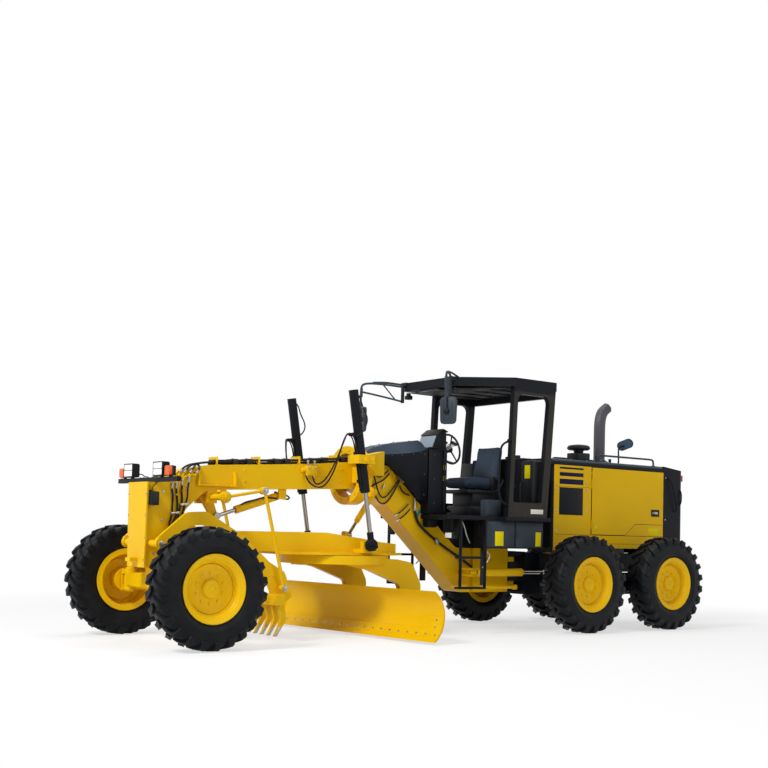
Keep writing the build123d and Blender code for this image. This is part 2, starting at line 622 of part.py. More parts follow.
# ---- hydraulic cylinders
def cylinder_barrel(length, radius, rod_radius, eye_r, pin_r, eye_t):
    """Barrel along +Z with a pinned eye at the origin and the rod's mouth at its far end."""
    low = (Align.CENTER, Align.CENTER, Align.MIN)
    piece = Pos(0, 0, eye_r - 10) * Cylinder(radius, length - eye_r + 10, align=low)
    piece += Rot(90, 0, 0) * Cylinder(eye_r, eye_t)
    piece -= Rot(90, 0, 0) * Cylinder(pin_r + FIT, eye_t + 2)
    piece -= Pos(0, 0, eye_r + 30) * Cylinder(radius - 10, length - eye_r - 70, align=low)
    return piece - Pos(0, 0, length - 50) * Cylinder(rod_radius + FIT, 60, align=low)


def cylinder_rod(reach, inside, bore_radius, rod_radius, eye_r, eye_t):
    """Rod along +Z: piston at the height inside, eye at the height reach."""
    low = (Align.CENTER, Align.CENTER, Align.MIN)
    piece = Pos(0, 0, inside) * Cylinder(rod_radius, reach - inside, align=low)
    piece += Pos(0, 0, inside) * Cylinder(bore_radius - FIT, 45, align=low)
    return piece + Pos(0, 0, reach) * Rot(90, 0, 0) * Cylinder(eye_r, eye_t)


def hitch_cylinder():
    """Left frame steering cylinder: barrel and rod."""
    start = (HITCH_CYL_FRONT, HITCH_CYL_Y, HITCH_CYL_Z)
    reach = HITCH_CYL_FRONT - HITCH_CYL_REAR
    place = Pos(*start) * Rot(0, -90, 0) * Rot(0, 0, 90)
    barrel = cylinder_barrel(820, 50, 25, 42, 20, 60)
    rod_piece = cylinder_rod(reach, 420, 40, 25, 42, 60)
    return place * barrel, place * rod_piece


def scarifier_cylinder():
    """Cylinder under the beam that turns the cross shaft."""
    start = Vector(SCAR_CYL_X, SCAR_CYL_Y, SCAR_CYL_Z)
    end = Vector(SCAR_ROD_X, SCAR_CYL_Y, SCAR_ROD_Z)
    tilt = math.degrees(math.atan2(end.X - start.X, end.Z - start.Z))
    place = Pos(start) * Rot(0, tilt, 0)
    reach = (end - start).length
    barrel = cylinder_barrel(600, SCAR_CYL_R, 22, 40, 20, 60)
    rod_piece = cylinder_rod(reach, 300, SCAR_CYL_R - 10, 22, 38, 48)
    return place * barrel, place * rod_piece


def swing_cylinder():
    """Cylinder from the saddle to the drawbar, across the machine."""
    (y, z), (eye_y, eye_z) = SWING_TOP, SWING_EYE
    tilt = math.degrees(math.atan2(eye_y - y, eye_z - z))
    place = Pos(SWING_X, y, z) * Rot(-tilt, 0, 0) * Rot(0, 0, 90)
    reach = math.hypot(eye_y - y, eye_z - z)
    barrel = cylinder_barrel(488, SWING_R, 20, 36, 20, 40)
    rod_piece = cylinder_rod(reach, 258, SWING_R - 10, 20, 36, 60)
    return place * barrel, place * rod_piece


# ---- cab
def cab_platform():
    """Floor plate on a pedestal; notched round the neck of the frame."""
    notch = BEAM_W / 2 + 10
    wide, step = CANOPY_HALF + 10, -4240
    plan = [
        (CAB_FRONT, -CAB_HALF, 40), (CAB_FRONT, -notch, 0), (-3700, -notch, 0), (-3700, notch, 0),
        (CAB_FRONT, notch, 0), (CAB_FRONT, CAB_HALF, 40), (step, CAB_HALF, 0), (step, wide, 20),
        (CAB_REAR, wide, 40), (CAB_REAR, -wide, 40), (step, -wide, 20), (step, -CAB_HALF, 0),
    ]
    low = FLOOR_Z - FLOOR_T
    floor = plan_cut(plan, (low, FLOOR_Z))
    floor += block((-4840, -4050), (-180, 180), (FRAME_HIGH + FIT, low))
    return floor + both_sides(block((-4980, -4000), (500, 715), (1060, low)))


def ladders():
    """Two rungs between two side plates on each side."""
    top = FLOOR_Z - FLOOR_T - FIT
    piece = block((-3600, -3580), (600, 740), (560, top))
    piece += block((-3998, -3978), (600, 740), (560, top))
    for z in (560, 930):
        piece += block((-3998, -3580), (600, 740), (z, z + 25))
    return both_sides(piece)


def canopy():
    """Roof on two side frames, each a front post, a rear post, a header and a low panel."""
    plan = mirrored([(-3590, 480, 60), (-4360, CANOPY_HALF, 0), (-5115, CANOPY_HALF, 60)])
    roof = plan_cut(plan, (ROOF_HIGH - ROOF_T - 60, ROOF_HIGH))
    roof &= side_cut([(-3500, ROOF_HIGH - ROOF_T - 40, 0), (-3500, ROOF_HIGH - 40, 0),
                      (-4360, ROOF_HIGH, 0), (-5200, ROOF_HIGH, 0),
                      (-5200, ROOF_HIGH - ROOF_T, 0), (-4360, ROOF_HIGH - ROOF_T, 0)], (-900, 900))
    foot, head = FLOOR_Z + FIT, ROOF_HIGH - ROOF_T + 20
    half, panel_top, header = POST / 2, 1640, ROOF_HIGH - ROOF_T - 90
    front_foot, front_head, rear_foot, rear_head = -4310, -4380, -4885, -5010
    rear_half = REAR_POST / 2
    frame = side_cut([(front_foot + half, foot, 0), (front_head + half, head, 0),
                      (rear_head - rear_half, head, 0), (rear_foot - rear_half, foot, 0)],
                     (CANOPY_HALF - POST, CANOPY_HALF))
    frame -= side_cut([(front_foot - half - 8, panel_top, 25), (front_head - half + 4, header, 90),
                       (rear_head + rear_half - 6, header, 90),
                       (rear_foot + rear_half - 14, panel_top, 25)], (600, 900))
    frame -= block((rear_foot + rear_half, front_foot - half),
                   (CANOPY_HALF - POST - 1, CANOPY_HALF - PANEL), (foot - 1, panel_top - PANEL))
    cross = block((rear_head - rear_half + 4, rear_head), (-CANOPY_HALF + 10, CANOPY_HALF - 10),
                  (header, head))
    return roof + both_sides(frame) + cross


def cowl():
    """Black sheet cowl over the top bend of the frame, open below."""
    rows = [
        (-2600, 2110, 0), (-2630, 2200, 0), (-2940, 2280, 0), (-3500, 2390, 0), (-3640, 2330, 0),
        (-3640, 1570, 0), (-3386, 1570, 0), (-3224, 1638, 0), (-2876, 1961, 0), (-2764, 2009, 0),
    ]
    inner = [
        (-2612, 2000, 0), (-2640, 2191, 0), (-2942, 2271, 0), (-3498, 2381, 0), (-3631, 2324, 0),
        (-3631, 1500, 0), (-2700, 1500, 0),
    ]
    plan = mirrored([(-2590, 190, 0), (-2940, 215, 0), (-3500, 330, 0), (-3650, 330, 0)])
    core = mirrored([(-2580, 182, 0), (-2940, 207, 0), (-3500, 322, 0), (-3660, 322, 0)])
    shell = side_cut(rows, (-400, 400)) & plan_cut(plan, (1400, 2500))
    shell -= side_cut(inner, (-400, 400)) & plan_cut(core, (1400, 2500))
    shell -= block((-2900, -2500), (-BEAM_W / 2 - FIT, BEAM_W / 2 + FIT), (1900, 2062))
    return shell


def console():
    """Dash, steering column and wheel."""
    piece = block((-3790, -3640.3), (-200, 200), (FLOOR_Z + FIT, 2330))
    top = side_cut([(-3645, 2335, 0), (-3645, 2480, 0), (-3740, 2555, 0), (-3800, 2530, 0),
                    (-3800, 2300, 0), (-3645, 2300, 0)], (-160, 160))
    piece += top
    piece += bar((-3760, 0, 2150), (-3985, 0, 2310), 28)
    wheel = Pos(-4000, 0, 2320) * Rot(0, -35, 0) * Torus(190, 14)
    spoke = Pos(-4000, 0, 2320) * Rot(0, -35, 0) * (Box(380, 24, 14) + Cylinder(45, 30))
    return piece + wheel + spoke


def seat():
    """Cushion and back on a pedestal."""
    piece = block((-4560, -4260), (-150, 150), (FLOOR_Z + FIT, 1800))
    cushion = block((-4620, SEAT_X), (-250, 250), (1800, 1950))
    cushion = fillet(cushion.edges().filter_by(Axis.Z), 60)
    back = side_cut([(-4560, 1900, 0), (-4640, 2390, 40), (-4760, 2390, 40), (-4700, 1880, 0)],
                    (-240, 240))
    return piece + cushion + back


def hydraulic_tank():
    """Tank behind the seat."""
    tank = block((-5010, -4800), (-480, 480), (FLOOR_Z + FIT, 2230))
    return fillet(tank.edges().filter_by(Axis.Y).group_by(Axis.Z)[-1], 30)


def mirrors():
    """Outside mirrors, each on a tube frame from the front corner of the roof."""
    low = ROOF_HIGH - ROOF_T - 14 - 2 * FIT
    root, lip, drop = (-3640, 400, low - 33.5), (-3554, 475, low - 37.5), (-3554, 475, 2930)
    elbow, brace_end, foot = (-3190, 860, 3140), (-3190, 860, 3080), (-3190, 860, 2690)
    piece = bar(root, lip, 14) + bar(lip, elbow, 14) + bar(lip, drop, 12)
    piece += bar(drop, brace_end, 12) + bar(elbow, foot, 13)
    for (x, y, z), radius in ((elbow, 18), (drop, 16), (foot, 30)):
        piece += Pos(x, y, z) * Sphere(radius)
    head = plan_cut([(-160, -95, 40), (-160, 95, 40), (160, 95, 40), (160, -95, 40)], (0, 50))
    return both_sides(piece + Pos(-3200, 860, 2690) * Rot(0, -90, 0) * head)



# ---- rear frame, hood and what stands on it
def rear_frame():
    """Two rails, cross members and the hitch lugs with the articulation pin."""
    outer = RAIL_Y + RAIL_W / 2
    inner = RAIL_Y - RAIL_W / 2
    rails = block((-7950, -5300), (inner, outer), (RAIL_LOW, RAIL_HIGH))
    piece = both_sides(rails)
    piece += block((-5420, -5140), (-inner, inner), (RAIL_LOW - 300, RAIL_HIGH))
    for x in (-6400, -7700):
        piece += block((x - 60, x + 60), (-inner, inner), (RAIL_LOW + 40, RAIL_HIGH - 40))
    for low in (490, 955):
        lug = plan_cut(mirrored([(-5200, 160, 0), (HITCH_X, 110, 0)]), (low, low + 60))
        piece += lug + drum(HITCH_X, 0, (low, low + 60), 110, "Z")
    piece += drum(HITCH_X, 0, (490, 1015), HITCH_R, "Z")
    piece += block((-8020, -7950), (-480, 480), (620, 1000))
    saddle = block((-WHEELBASE - 110, -WHEELBASE + 110), (inner, outer), (TYRE_R + 110 + FIT, RAIL_LOW))
    for low in (TOW_Z - TOW_JAW / 2 - 25, TOW_Z + TOW_JAW / 2):
        jaw = block((-8100, -8019), (-60, 60), (low, low + 25))
        piece += jaw - drum(TOW_X, 0, (low - 1, low + 26), TOW_PIN_R, "Z")
    x, y, z = HITCH_CYL_REAR, HITCH_CYL_Y, HITCH_CYL_Z - 30 - FIT
    pad = block((x - 50, x + 50), (inner, y + 45), (z - 25, z))
    pad += block((x - 50, x + 50), (inner, outer), (z, RAIL_LOW))
    return piece + both_sides(saddle + pad)


def tandem_axle():
    """Final drive housing across the frame and a tandem case with two spindles on each side."""
    tube = drum(-WHEELBASE, (-660, 660), TYRE_R, 110, "Y")
    tube += Pos(-WHEELBASE, 0, TYRE_R - 30) * Sphere(150)
    rows = [
        (MID_AXLE + 200, TYRE_R - 150, 120), (MID_AXLE + 200, TYRE_R + 130, 120),
        (REAR_AXLE - 200, TYRE_R + 130, 120), (REAR_AXLE - 200, TYRE_R - 150, 120),
    ]
    case = side_cut(rows, (640, WHEEL_Y - 190))
    for x in (MID_AXLE, REAR_AXLE):
        case += drum(x, (800, WHEEL_Y + 60), TYRE_R, SPINDLE_R, "Y")
    return tube + both_sides(case)


def engine_block():
    """Engine and gearbox as one plain mass."""
    return block((-7000, -5750), (-RAIL_Y - 10, RAIL_Y + 10), (RAIL_HIGH + FIT, 1850))


def hood_panels():
    """Front wall, the fixed side panels and the skirts below the doors."""
    front, rear = HOOD_FRONT, DOOR_FRONT + DOOR_GAP / 2
    plan = [
        (front, -HOOD_HALF, 70), (front, HOOD_HALF, 70), (rear, HOOD_HALF, 0), (rear, -HOOD_HALF, 0),
    ]
    wall = HOOD_HALF - PANEL
    core = [
        (front - PANEL, -wall, 62), (front - PANEL, wall, 62), (rear - 1, wall, 0), (rear - 1, -wall, 0),
    ]
    top = DOOR_HIGH + DOOR_GAP - FIT
    shell = plan_cut(plan, (HOOD_LOW, top)) - plan_cut(core, (HOOD_LOW, top))
    side = block((HOOD_REAR, rear), (wall, HOOD_HALF), (HOOD_LOW, DOOR_LOW - DOOR_GAP))
    for x in (front - 90, rear + 40, HOOD_REAR + 40):
        side += block((x - 40, x + 40), (RAIL_Y + 20, wall), (RAIL_HIGH + FIT, RAIL_HIGH + 12))
        side += block((x - 40, x + 40), (wall - 12, wall), (RAIL_HIGH + FIT, HOOD_LOW + 60))
    for z in HINGE_Z:
        side += drum(DOOR_FRONT, HINGE_Y, (z - 60, z - FIT / 2), HINGE_R, "Z")
        side += block((DOOR_FRONT, DOOR_FRONT + 40), (HOOD_HALF - 1, HOOD_HALF + 4), (z - 60, z - FIT / 2))
        side += drum(DOOR_FRONT, HINGE_Y, (z - 60, z + 50), HINGE_R / 2, "Z")
    return shell + both_sides(side)


def hood_top():
    """Rounded roof panel of the engine compartment."""
    low = DOOR_HIGH + DOOR_GAP
    outer = [(-HOOD_HALF, low, 0), (-HOOD_HALF, HOOD_HIGH, 60), (HOOD_HALF, HOOD_HIGH, 60),
             (HOOD_HALF, low, 0)]
    wall, top = HOOD_HALF - PANEL, HOOD_HIGH - PANEL
    inner = [(-wall, low, 0), (-wall, top, 52), (wall, top, 52), (wall, low, 0)]
    shell = front_cut(outer, (HOOD_REAR, HOOD_FRONT))
    return shell - front_cut(inner, (HOOD_REAR + PANEL, HOOD_FRONT - PANEL))


def engine_door(side):
    """Door hinged at its front edge on two knuckles."""
    y = (HOOD_HALF - PANEL, HOOD_HALF)
    front = DOOR_FRONT - HINGE_R - BODY_GAP
    door = block((HOOD_REAR + DOOR_GAP, front), y, (DOOR_LOW, DOOR_HIGH))
    for z in HINGE_Z:
        door += block((front - 30, DOOR_FRONT), (HOOD_HALF - 1, HOOD_HALF + 4), (z + FIT / 2, z + 60))
        door += drum(DOOR_FRONT, HINGE_Y, (z + FIT / 2, z + 60), HINGE_R, "Z")
        door -= drum(DOOR_FRONT, HINGE_Y, (z, z + 61), HINGE_R / 2 + FIT, "Z")
    return door if side > 0 else mirror(door, Plane.XZ)


def radiator_housing():
    """Black housing across the back, its top sloping down to the rear, with a louvred end."""
    front = HOOD_REAR - FIT
    plan = [
        (-REAR_END, -HOOD_HALF, 90), (-REAR_END, HOOD_HALF, 90), (front, HOOD_HALF, 0),
        (front, -HOOD_HALF, 0),
    ]
    wall = HOOD_HALF - PANEL
    core = [
        (-REAR_END + PANEL, -wall, 82), (-REAR_END + PANEL, wall, 82), (front + 1, wall, 0),
        (front + 1, -wall, 0),
    ]
    low, high = RAIL_HIGH + FIT, HOOD_HIGH
    slope = [(front + 1, low - 1, 0), (front + 1, high, 0), (-REAR_END - 1, high - 50, 0),
             (-REAR_END - 1, low - 1, 0)]
    inside = [(x, z if z < low else z - PANEL, 0) for x, z, _ in slope]
    shell = plan_cut(plan, (low, high)) & side_cut(slope, (-HOOD_HALF, HOOD_HALF))
    shell -= plan_cut(core, (low - 1, high)) & side_cut(inside, (-HOOD_HALF, HOOD_HALF))
    for number in range(8):
        z = low + 120 + number * 120
        shell -= block((-REAR_END - 1, -REAR_END + PANEL + 1), (-360, 360), (z, z + 45))
    lamp = block((-8118, -REAR_END + 1), (HOOD_HALF - 190, HOOD_HALF - 95), (2071, 2158))
    return shell + both_sides(lamp)


def exhaust_stack():
    """Exhaust pipe curved back at its mouth."""
    x, foot, bend_z, bend_r, pipe_r = -6770, HOOD_HIGH + FIT, 2920, 170, 80
    tube = drum(x, 0, (foot, bend_z), pipe_r, "Z") + drum(x, 0, (foot, foot + 60), 100, "Z")
    mouth = Plane.XY.offset(bend_z) * Pos(x, 0) * (Circle(pipe_r))
    tube += revolve(mouth, Axis((x - bend_r, 0, bend_z), (0, -1, 0)), revolution_arc=50)
    return tube


def precleaner():
    """Air intake on its box."""
    x, foot = -6350, HOOD_HIGH + FIT
    piece = block((x - 150, x + 150), (-150, 150), (foot, 2400))
    piece += drum(x, 0, (2399, 2441), 70, "Z")
    return piece + drum(x, 0, (2440, 2520), 165, "Z")


def hood_rails():
    """Hand rails along the hood and the oval mirror on its stalk."""
    y, foot, top = 430, HOOD_HIGH + FIT, 2345
    rail = drum((-7430, -6260), y, top, 15, "X")
    for x in (-7415, -6845, -6275):
        rail += drum(x, y, (foot, top), 15, "Z")
    return both_sides(rail)


def main():
    """Write every node."""
    os.makedirs("parts", exist_ok=True)
    wheels()
    keep("front_frame", front_frame())
    keep("lamp_bar", lamp_bar())
    keep("front_axle", front_axle())
    keep("knuckle_left", knuckle())
    keep("knuckle_right", mirror(knuckle(), Plane.XZ))
    keep("tie_rod", tie_rod())
    keep("lift_saddle", lift_saddle())
    for name, side in (("left", 1), ("right", -1)):
        keep(f"lift_barrel_{name}", lift_barrel(side))
        keep(f"lift_rod_{name}", lift_rod(side))
        keep(f"engine_door_{name}", engine_door(side))
    keep("drawbar", drawbar())
    keep("circle", circle())
    keep("moldboard", moldboard())
    keep("blade_carrier", blade_carrier())
    keep("scarifier", scarifier())
    keep("scarifier_lever", scarifier_lever())
    keep("push_rods", push_rods())
    for name, pair in (("scarifier", scarifier_cylinder()), ("swing", swing_cylinder())):
        keep(f"{name}_barrel", pair[0])
        keep(f"{name}_rod", pair[1])
    for piece, name in zip(hitch_cylinder(), ("barrel", "rod")):
        keep(f"hitch_{name}_left", piece)
        keep(f"hitch_{name}_right", mirror(piece, Plane.XZ))
    keep("cab_platform", cab_platform())
    keep("ladders", ladders())
    keep("canopy", canopy())
    keep("cowl", cowl())
    keep("console", console())
    keep("seat", seat())
    keep("hydraulic_tank", hydraulic_tank())
    keep("mirrors", mirrors())
    keep("rear_frame", rear_frame())
    keep("tandem_axle", tandem_axle())
    keep("engine_block", engine_block())
    keep("hood_panels", hood_panels())
    keep("hood_top", hood_top())
    keep("radiator_housing", radiator_housing())
    keep("exhaust_stack", exhaust_stack())
    keep("precleaner", precleaner())
    keep("hood_rails", hood_rails())


main()
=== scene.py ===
"""Looks of an articulated motor grader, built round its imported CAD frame."""
from __future__ import annotations

import json
import logging
import math
from dataclasses import dataclass
from enum import Enum

import bmesh
import bpy
from mathutils import Matrix, Vector


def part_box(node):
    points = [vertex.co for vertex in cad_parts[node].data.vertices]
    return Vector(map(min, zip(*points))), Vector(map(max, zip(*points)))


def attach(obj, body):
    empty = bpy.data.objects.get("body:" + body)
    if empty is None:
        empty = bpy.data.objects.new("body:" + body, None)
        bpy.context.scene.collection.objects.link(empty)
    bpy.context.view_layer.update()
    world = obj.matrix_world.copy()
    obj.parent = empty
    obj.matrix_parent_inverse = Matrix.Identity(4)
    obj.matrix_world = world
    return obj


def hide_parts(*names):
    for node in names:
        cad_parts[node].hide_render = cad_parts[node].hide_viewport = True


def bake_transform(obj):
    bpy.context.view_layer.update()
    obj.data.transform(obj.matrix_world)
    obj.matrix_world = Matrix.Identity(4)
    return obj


LOG = logging.getLogger("motor_grader")
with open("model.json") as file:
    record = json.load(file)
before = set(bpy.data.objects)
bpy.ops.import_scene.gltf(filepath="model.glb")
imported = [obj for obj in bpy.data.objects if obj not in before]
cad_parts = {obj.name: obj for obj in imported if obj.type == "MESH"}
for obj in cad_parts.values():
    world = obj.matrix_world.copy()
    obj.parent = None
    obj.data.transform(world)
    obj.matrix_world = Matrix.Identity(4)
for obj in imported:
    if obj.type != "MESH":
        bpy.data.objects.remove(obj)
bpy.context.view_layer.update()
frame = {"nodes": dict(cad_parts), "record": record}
SLOT_OF = {part["node"]: part["material_slot"] for part in frame["record"]["subparts"]}
BODY_OF = {
    node: body
    for body, nodes in frame["record"]["behaviour"]["bodies"].items()
    for node in nodes
}
AXLE_X = sum(corner.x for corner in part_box("front_axle")) / 2
X, Y, Z = Vector((1, 0, 0)), Vector((0, 1, 0)), Vector((0, 0, 1))
SIDES = (-1, 1)
REAR = ("rear_frame", "frame_black")  # body and slot of the dark pieces behind the hinge


def at(x: float, y: float, z: float) -> Vector:
    """Point in the row frame from stations counted from the front axle, in metres."""
    return Vector((x + AXLE_X, y, z))


def flat(y: float, *stations: tuple) -> list[Vector]:
    """Points of one upright plane from (x, z) stations."""
    return [at(x, y, z) for x, z in stations]


def around(centre: Vector, radius: float, count: int, first: Vector, second: Vector,
           phase: float = 0.0) -> list[Vector]:
    """Points spaced evenly round a circle.

    Args:
        centre: Middle of the circle.
        radius: Its radius.
        count: How many points.
        first: Direction of the first point.
        second: Direction of the point a quarter turn on.
        phase: Angle that all points are turned on by.

    Returns:
        The points in order.
    """
    turns = [math.tau * step / count + phase for step in range(count)]
    return [centre + (first * math.cos(turn) + second * math.sin(turn)) * radius for turn in turns]


# ---- finishes
class Nodes:
    """Shader nodes of one material."""

    def __init__(self, name: str) -> None:
        """Start a material with one Principled shader.

        Args:
            name: Name of the material.
        """
        self.material = bpy.data.materials.new(name)
        self.material.use_nodes = True
        self.tree = self.material.node_tree
        self.shader = self.tree.nodes["Principled BSDF"]
        self.place = self.add("ShaderNodeTexCoord").outputs["Object"]

    def add(self, kind: str, **values: object) -> bpy.types.Node:
        """Add a node and set its sockets or properties.

        Args:
            kind: Blender's name of the node type.
            **values: Socket names, with underscores for spaces, or property names.

        Returns:
            The new node.
        """
        node = self.tree.nodes.new(kind)
        for key, value in values.items():
            label = key.replace("_", " ")
            if hasattr(node, key):
                setattr(node, key, value)
            elif isinstance(value, bpy.types.NodeSocket):
                self.tree.links.new(value, node.inputs[label])
            else:
                node.inputs[label].default_value = value
        return node

    def noise(self, scale: float, detail: float = 4.0, stretch: tuple = (1, 1, 1)) -> bpy.types.NodeSocket:
        """Noise on the piece's own coordinates.

        Args:
            scale: Cells to the metre.
            detail: Octaves.
            stretch: Scale of each axis before the noise.

        Returns:
            The noise's factor.
        """
        spot = self.add("ShaderNodeMapping", Vector=self.place, Scale=stretch)
        return self.add("ShaderNodeTexNoise", Vector=spot.outputs[0], Scale=scale, Detail=detail).outputs[0]

    def ramp(self, factor: bpy.types.NodeSocket, low: float, high: float, first: tuple,
             last: tuple) -> bpy.types.NodeSocket:
        """Colour ramp between two stops.

        Args:
            factor: Input factor.
            low: Place of the first stop.
            high: Place of the last stop.
            first: Colour at the first stop.
            last: Colour at the last stop.

        Returns:
            The ramp's colour.
        """
        node = self.add("ShaderNodeValToRGB")
        self.tree.links.new(factor, node.inputs[0])
        stops = node.color_ramp.elements
        stops[0].position, stops[1].position = low, high
        stops[0].color, stops[1].color = (*first, 1), (*last, 1)
        return node.outputs[0]

    def bump(self, height: bpy.types.NodeSocket, strength: float, distance: float) -> None:
        """Raise the surface by a height.

        Args:
            height: Height factor.
            strength: Share of the bump that is used.
            distance: Height of a full step in metres.
        """
        node = self.add("ShaderNodeBump", Height=height, Strength=strength, Distance=distance)
        self.tree.links.new(node.outputs[0], self.shader.inputs["Normal"])

    def feed(self, socket: str, source: bpy.types.NodeSocket) -> None:
        """Link a source to one of the shader's sockets."""
        self.tree.links.new(source, self.shader.inputs[socket])


@dataclass(frozen=True)
class Enamel:
    """Sprayed enamel on sheet or castings, with orange peel and a film of road dust."""

    name: str
    colour: tuple
    gloss: float = 0.32
    coat: float = 0.35
    dust: tuple = (0.42, 0.33, 0.2)
    dusty: float = 0.04
    shine: float = 0.12
    peel: float = 0.12

    def build(self) -> bpy.types.Material:
        """Make the enamel's material."""
        made = Nodes(self.name)
        deep = tuple(0.93 * c for c in self.colour)
        base = made.ramp(made.noise(1.7), 0.35, 0.7, deep, self.colour)
        film = made.ramp(made.noise(9.0, 8.0, (1, 1, 0.45)), 0.5, 0.95, (0, 0, 0), (self.dusty,) * 3)
        mix = made.add("ShaderNodeMixRGB", Color1=base, Color2=(*self.dust, 1), Fac=film)
        made.feed("Base Color", mix.outputs[0])
        rough = made.ramp(made.noise(23.0, 6.0), 0.3, 0.8, (self.gloss - 0.05,) * 3, (self.gloss + 0.09,) * 3)
        made.feed("Roughness", rough)
        made.shader.inputs["Specular IOR Level"].default_value = self.shine
        made.shader.inputs["Coat Weight"].default_value = self.coat
        made.shader.inputs["Coat Roughness"].default_value = 0.12
        made.bump(made.noise(260.0, 3.0), self.peel, 0.0006)
        return made.material


@dataclass(frozen=True)
class TyreRubber:
    """Moulded tyre rubber, a little grey where the mould left it."""

    name: str = "tyre_rubber"

    def build(self) -> bpy.types.Material:
        """Make the rubber's material."""
        made = Nodes(self.name)
        base = made.ramp(made.noise(6.0, 7.0), 0.35, 0.75, (0.0045, 0.005, 0.006), (0.009, 0.01, 0.0125))
        made.feed("Base Color", base)
        made.feed("Roughness", made.ramp(made.noise(40.0, 5.0), 0.3, 0.8, (0.42,) * 3, (0.6,) * 3))
        made.shader.inputs["Specular IOR Level"].default_value = 0.13
        made.bump(made.noise(420.0, 4.0), 0.25, 0.0008)
        return made.material


@dataclass(frozen=True)
class BareMetal:
    """Turned, plated or cast metal."""

    name: str
    colour: tuple
    roughness: float
    metallic: float = 1.0
    grain: tuple = (1, 1, 1)
    tooth: float = 0.15

    def build(self) -> bpy.types.Material:
        """Make the metal's material."""
        made = Nodes(self.name)
        low, high = tuple(0.86 * c for c in self.colour), self.colour
        made.feed("Base Color", made.ramp(made.noise(14.0, 6.0), 0.3, 0.75, low, high))
        made.feed("Roughness", made.ramp(made.noise(90.0, 5.0, self.grain), 0.3, 0.75,
                                         (self.roughness * 0.8,) * 3, (self.roughness * 1.35,) * 3))
        made.shader.inputs["Metallic"].default_value = self.metallic
        made.bump(made.noise(330.0, 3.0, self.grain), self.tooth, 0.0005)
        return made.material


@dataclass(frozen=True)
class Moulded:
    """Moulded plastic, hose rubber or vinyl with a fine grain."""

    name: str
    colour: tuple
    roughness: float = 0.5
    grain: float = 600.0
    height: float = 0.3

    def build(self) -> bpy.types.Material:
        """Make the moulding's material."""
        made = Nodes(self.name)
        made.feed("Base Color", made.ramp(made.noise(5.0), 0.3, 0.75, tuple(0.85 * c for c in self.colour),
                                          self.colour))
        cells = made.add("ShaderNodeTexVoronoi", Vector=made.place, Scale=self.grain,
                         feature="DISTANCE_TO_EDGE")
        made.feed("Roughness", made.ramp(made.noise(60.0), 0.3, 0.8, (self.roughness - 0.06,) * 3,
                                         (self.roughness + 0.08,) * 3))
        made.shader.inputs["Specular IOR Level"].default_value = 0.2
        made.bump(cells.outputs[0], self.height, 0.0006)
        return made.material


@dataclass(frozen=True)
class Lens:
    """Pressed lamp lens or mirror glass; ribs are the flutes of the pressing to the metre."""

    name: str
    colour: tuple
    ribs: float = 0.0
    metallic: float = 0.0
    roughness: float = 0.08
    glow: float = 0.0

    def build(self) -> bpy.types.Material:
        """Make the lens's material."""
        made = Nodes(self.name)
        made.feed("Base Color", made.ramp(made.noise(20.0), 0.2, 0.8, tuple(0.92 * c for c in self.colour),
                                          self.colour))
        made.shader.inputs["Metallic"].default_value = self.metallic
        made.shader.inputs["Roughness"].default_value = self.roughness
        made.shader.inputs["Coat Weight"].default_value = 0.15
        made.shader.inputs["Emission Color"].default_value = (*self.colour, 1)
        made.shader.inputs["Emission Strength"].default_value = self.glow
        if self.ribs:
            wave = made.add("ShaderNodeTexWave", Vector=made.place, Scale=self.ribs, bands_direction="Y")
            made.bump(wave.outputs[0], 0.5, 0.002)
        return made.material


@dataclass(frozen=True)
class FineMesh:
    """Woven or punched guard, seen as a sheet with a small square pattern."""

    name: str
    colour: tuple
    pitch: float = 90.0

    def build(self) -> bpy.types.Material:
        """Make the guard's material."""
        made = Nodes(self.name)
        tiles = made.add("ShaderNodeTexBrick", Vector=made.place, Scale=self.pitch)
        tiles.inputs["Color1"].default_value = (0.002, 0.002, 0.002, 1)
        tiles.inputs["Color2"].default_value = (0.003, 0.003, 0.003, 1)
        tiles.inputs["Mortar"].default_value = (*self.colour, 1)
        made.feed("Base Color", tiles.outputs[0])
        made.shader.inputs["Roughness"].default_value = 0.5
        made.bump(tiles.outputs[1], 0.5, 0.002)
        return made.material


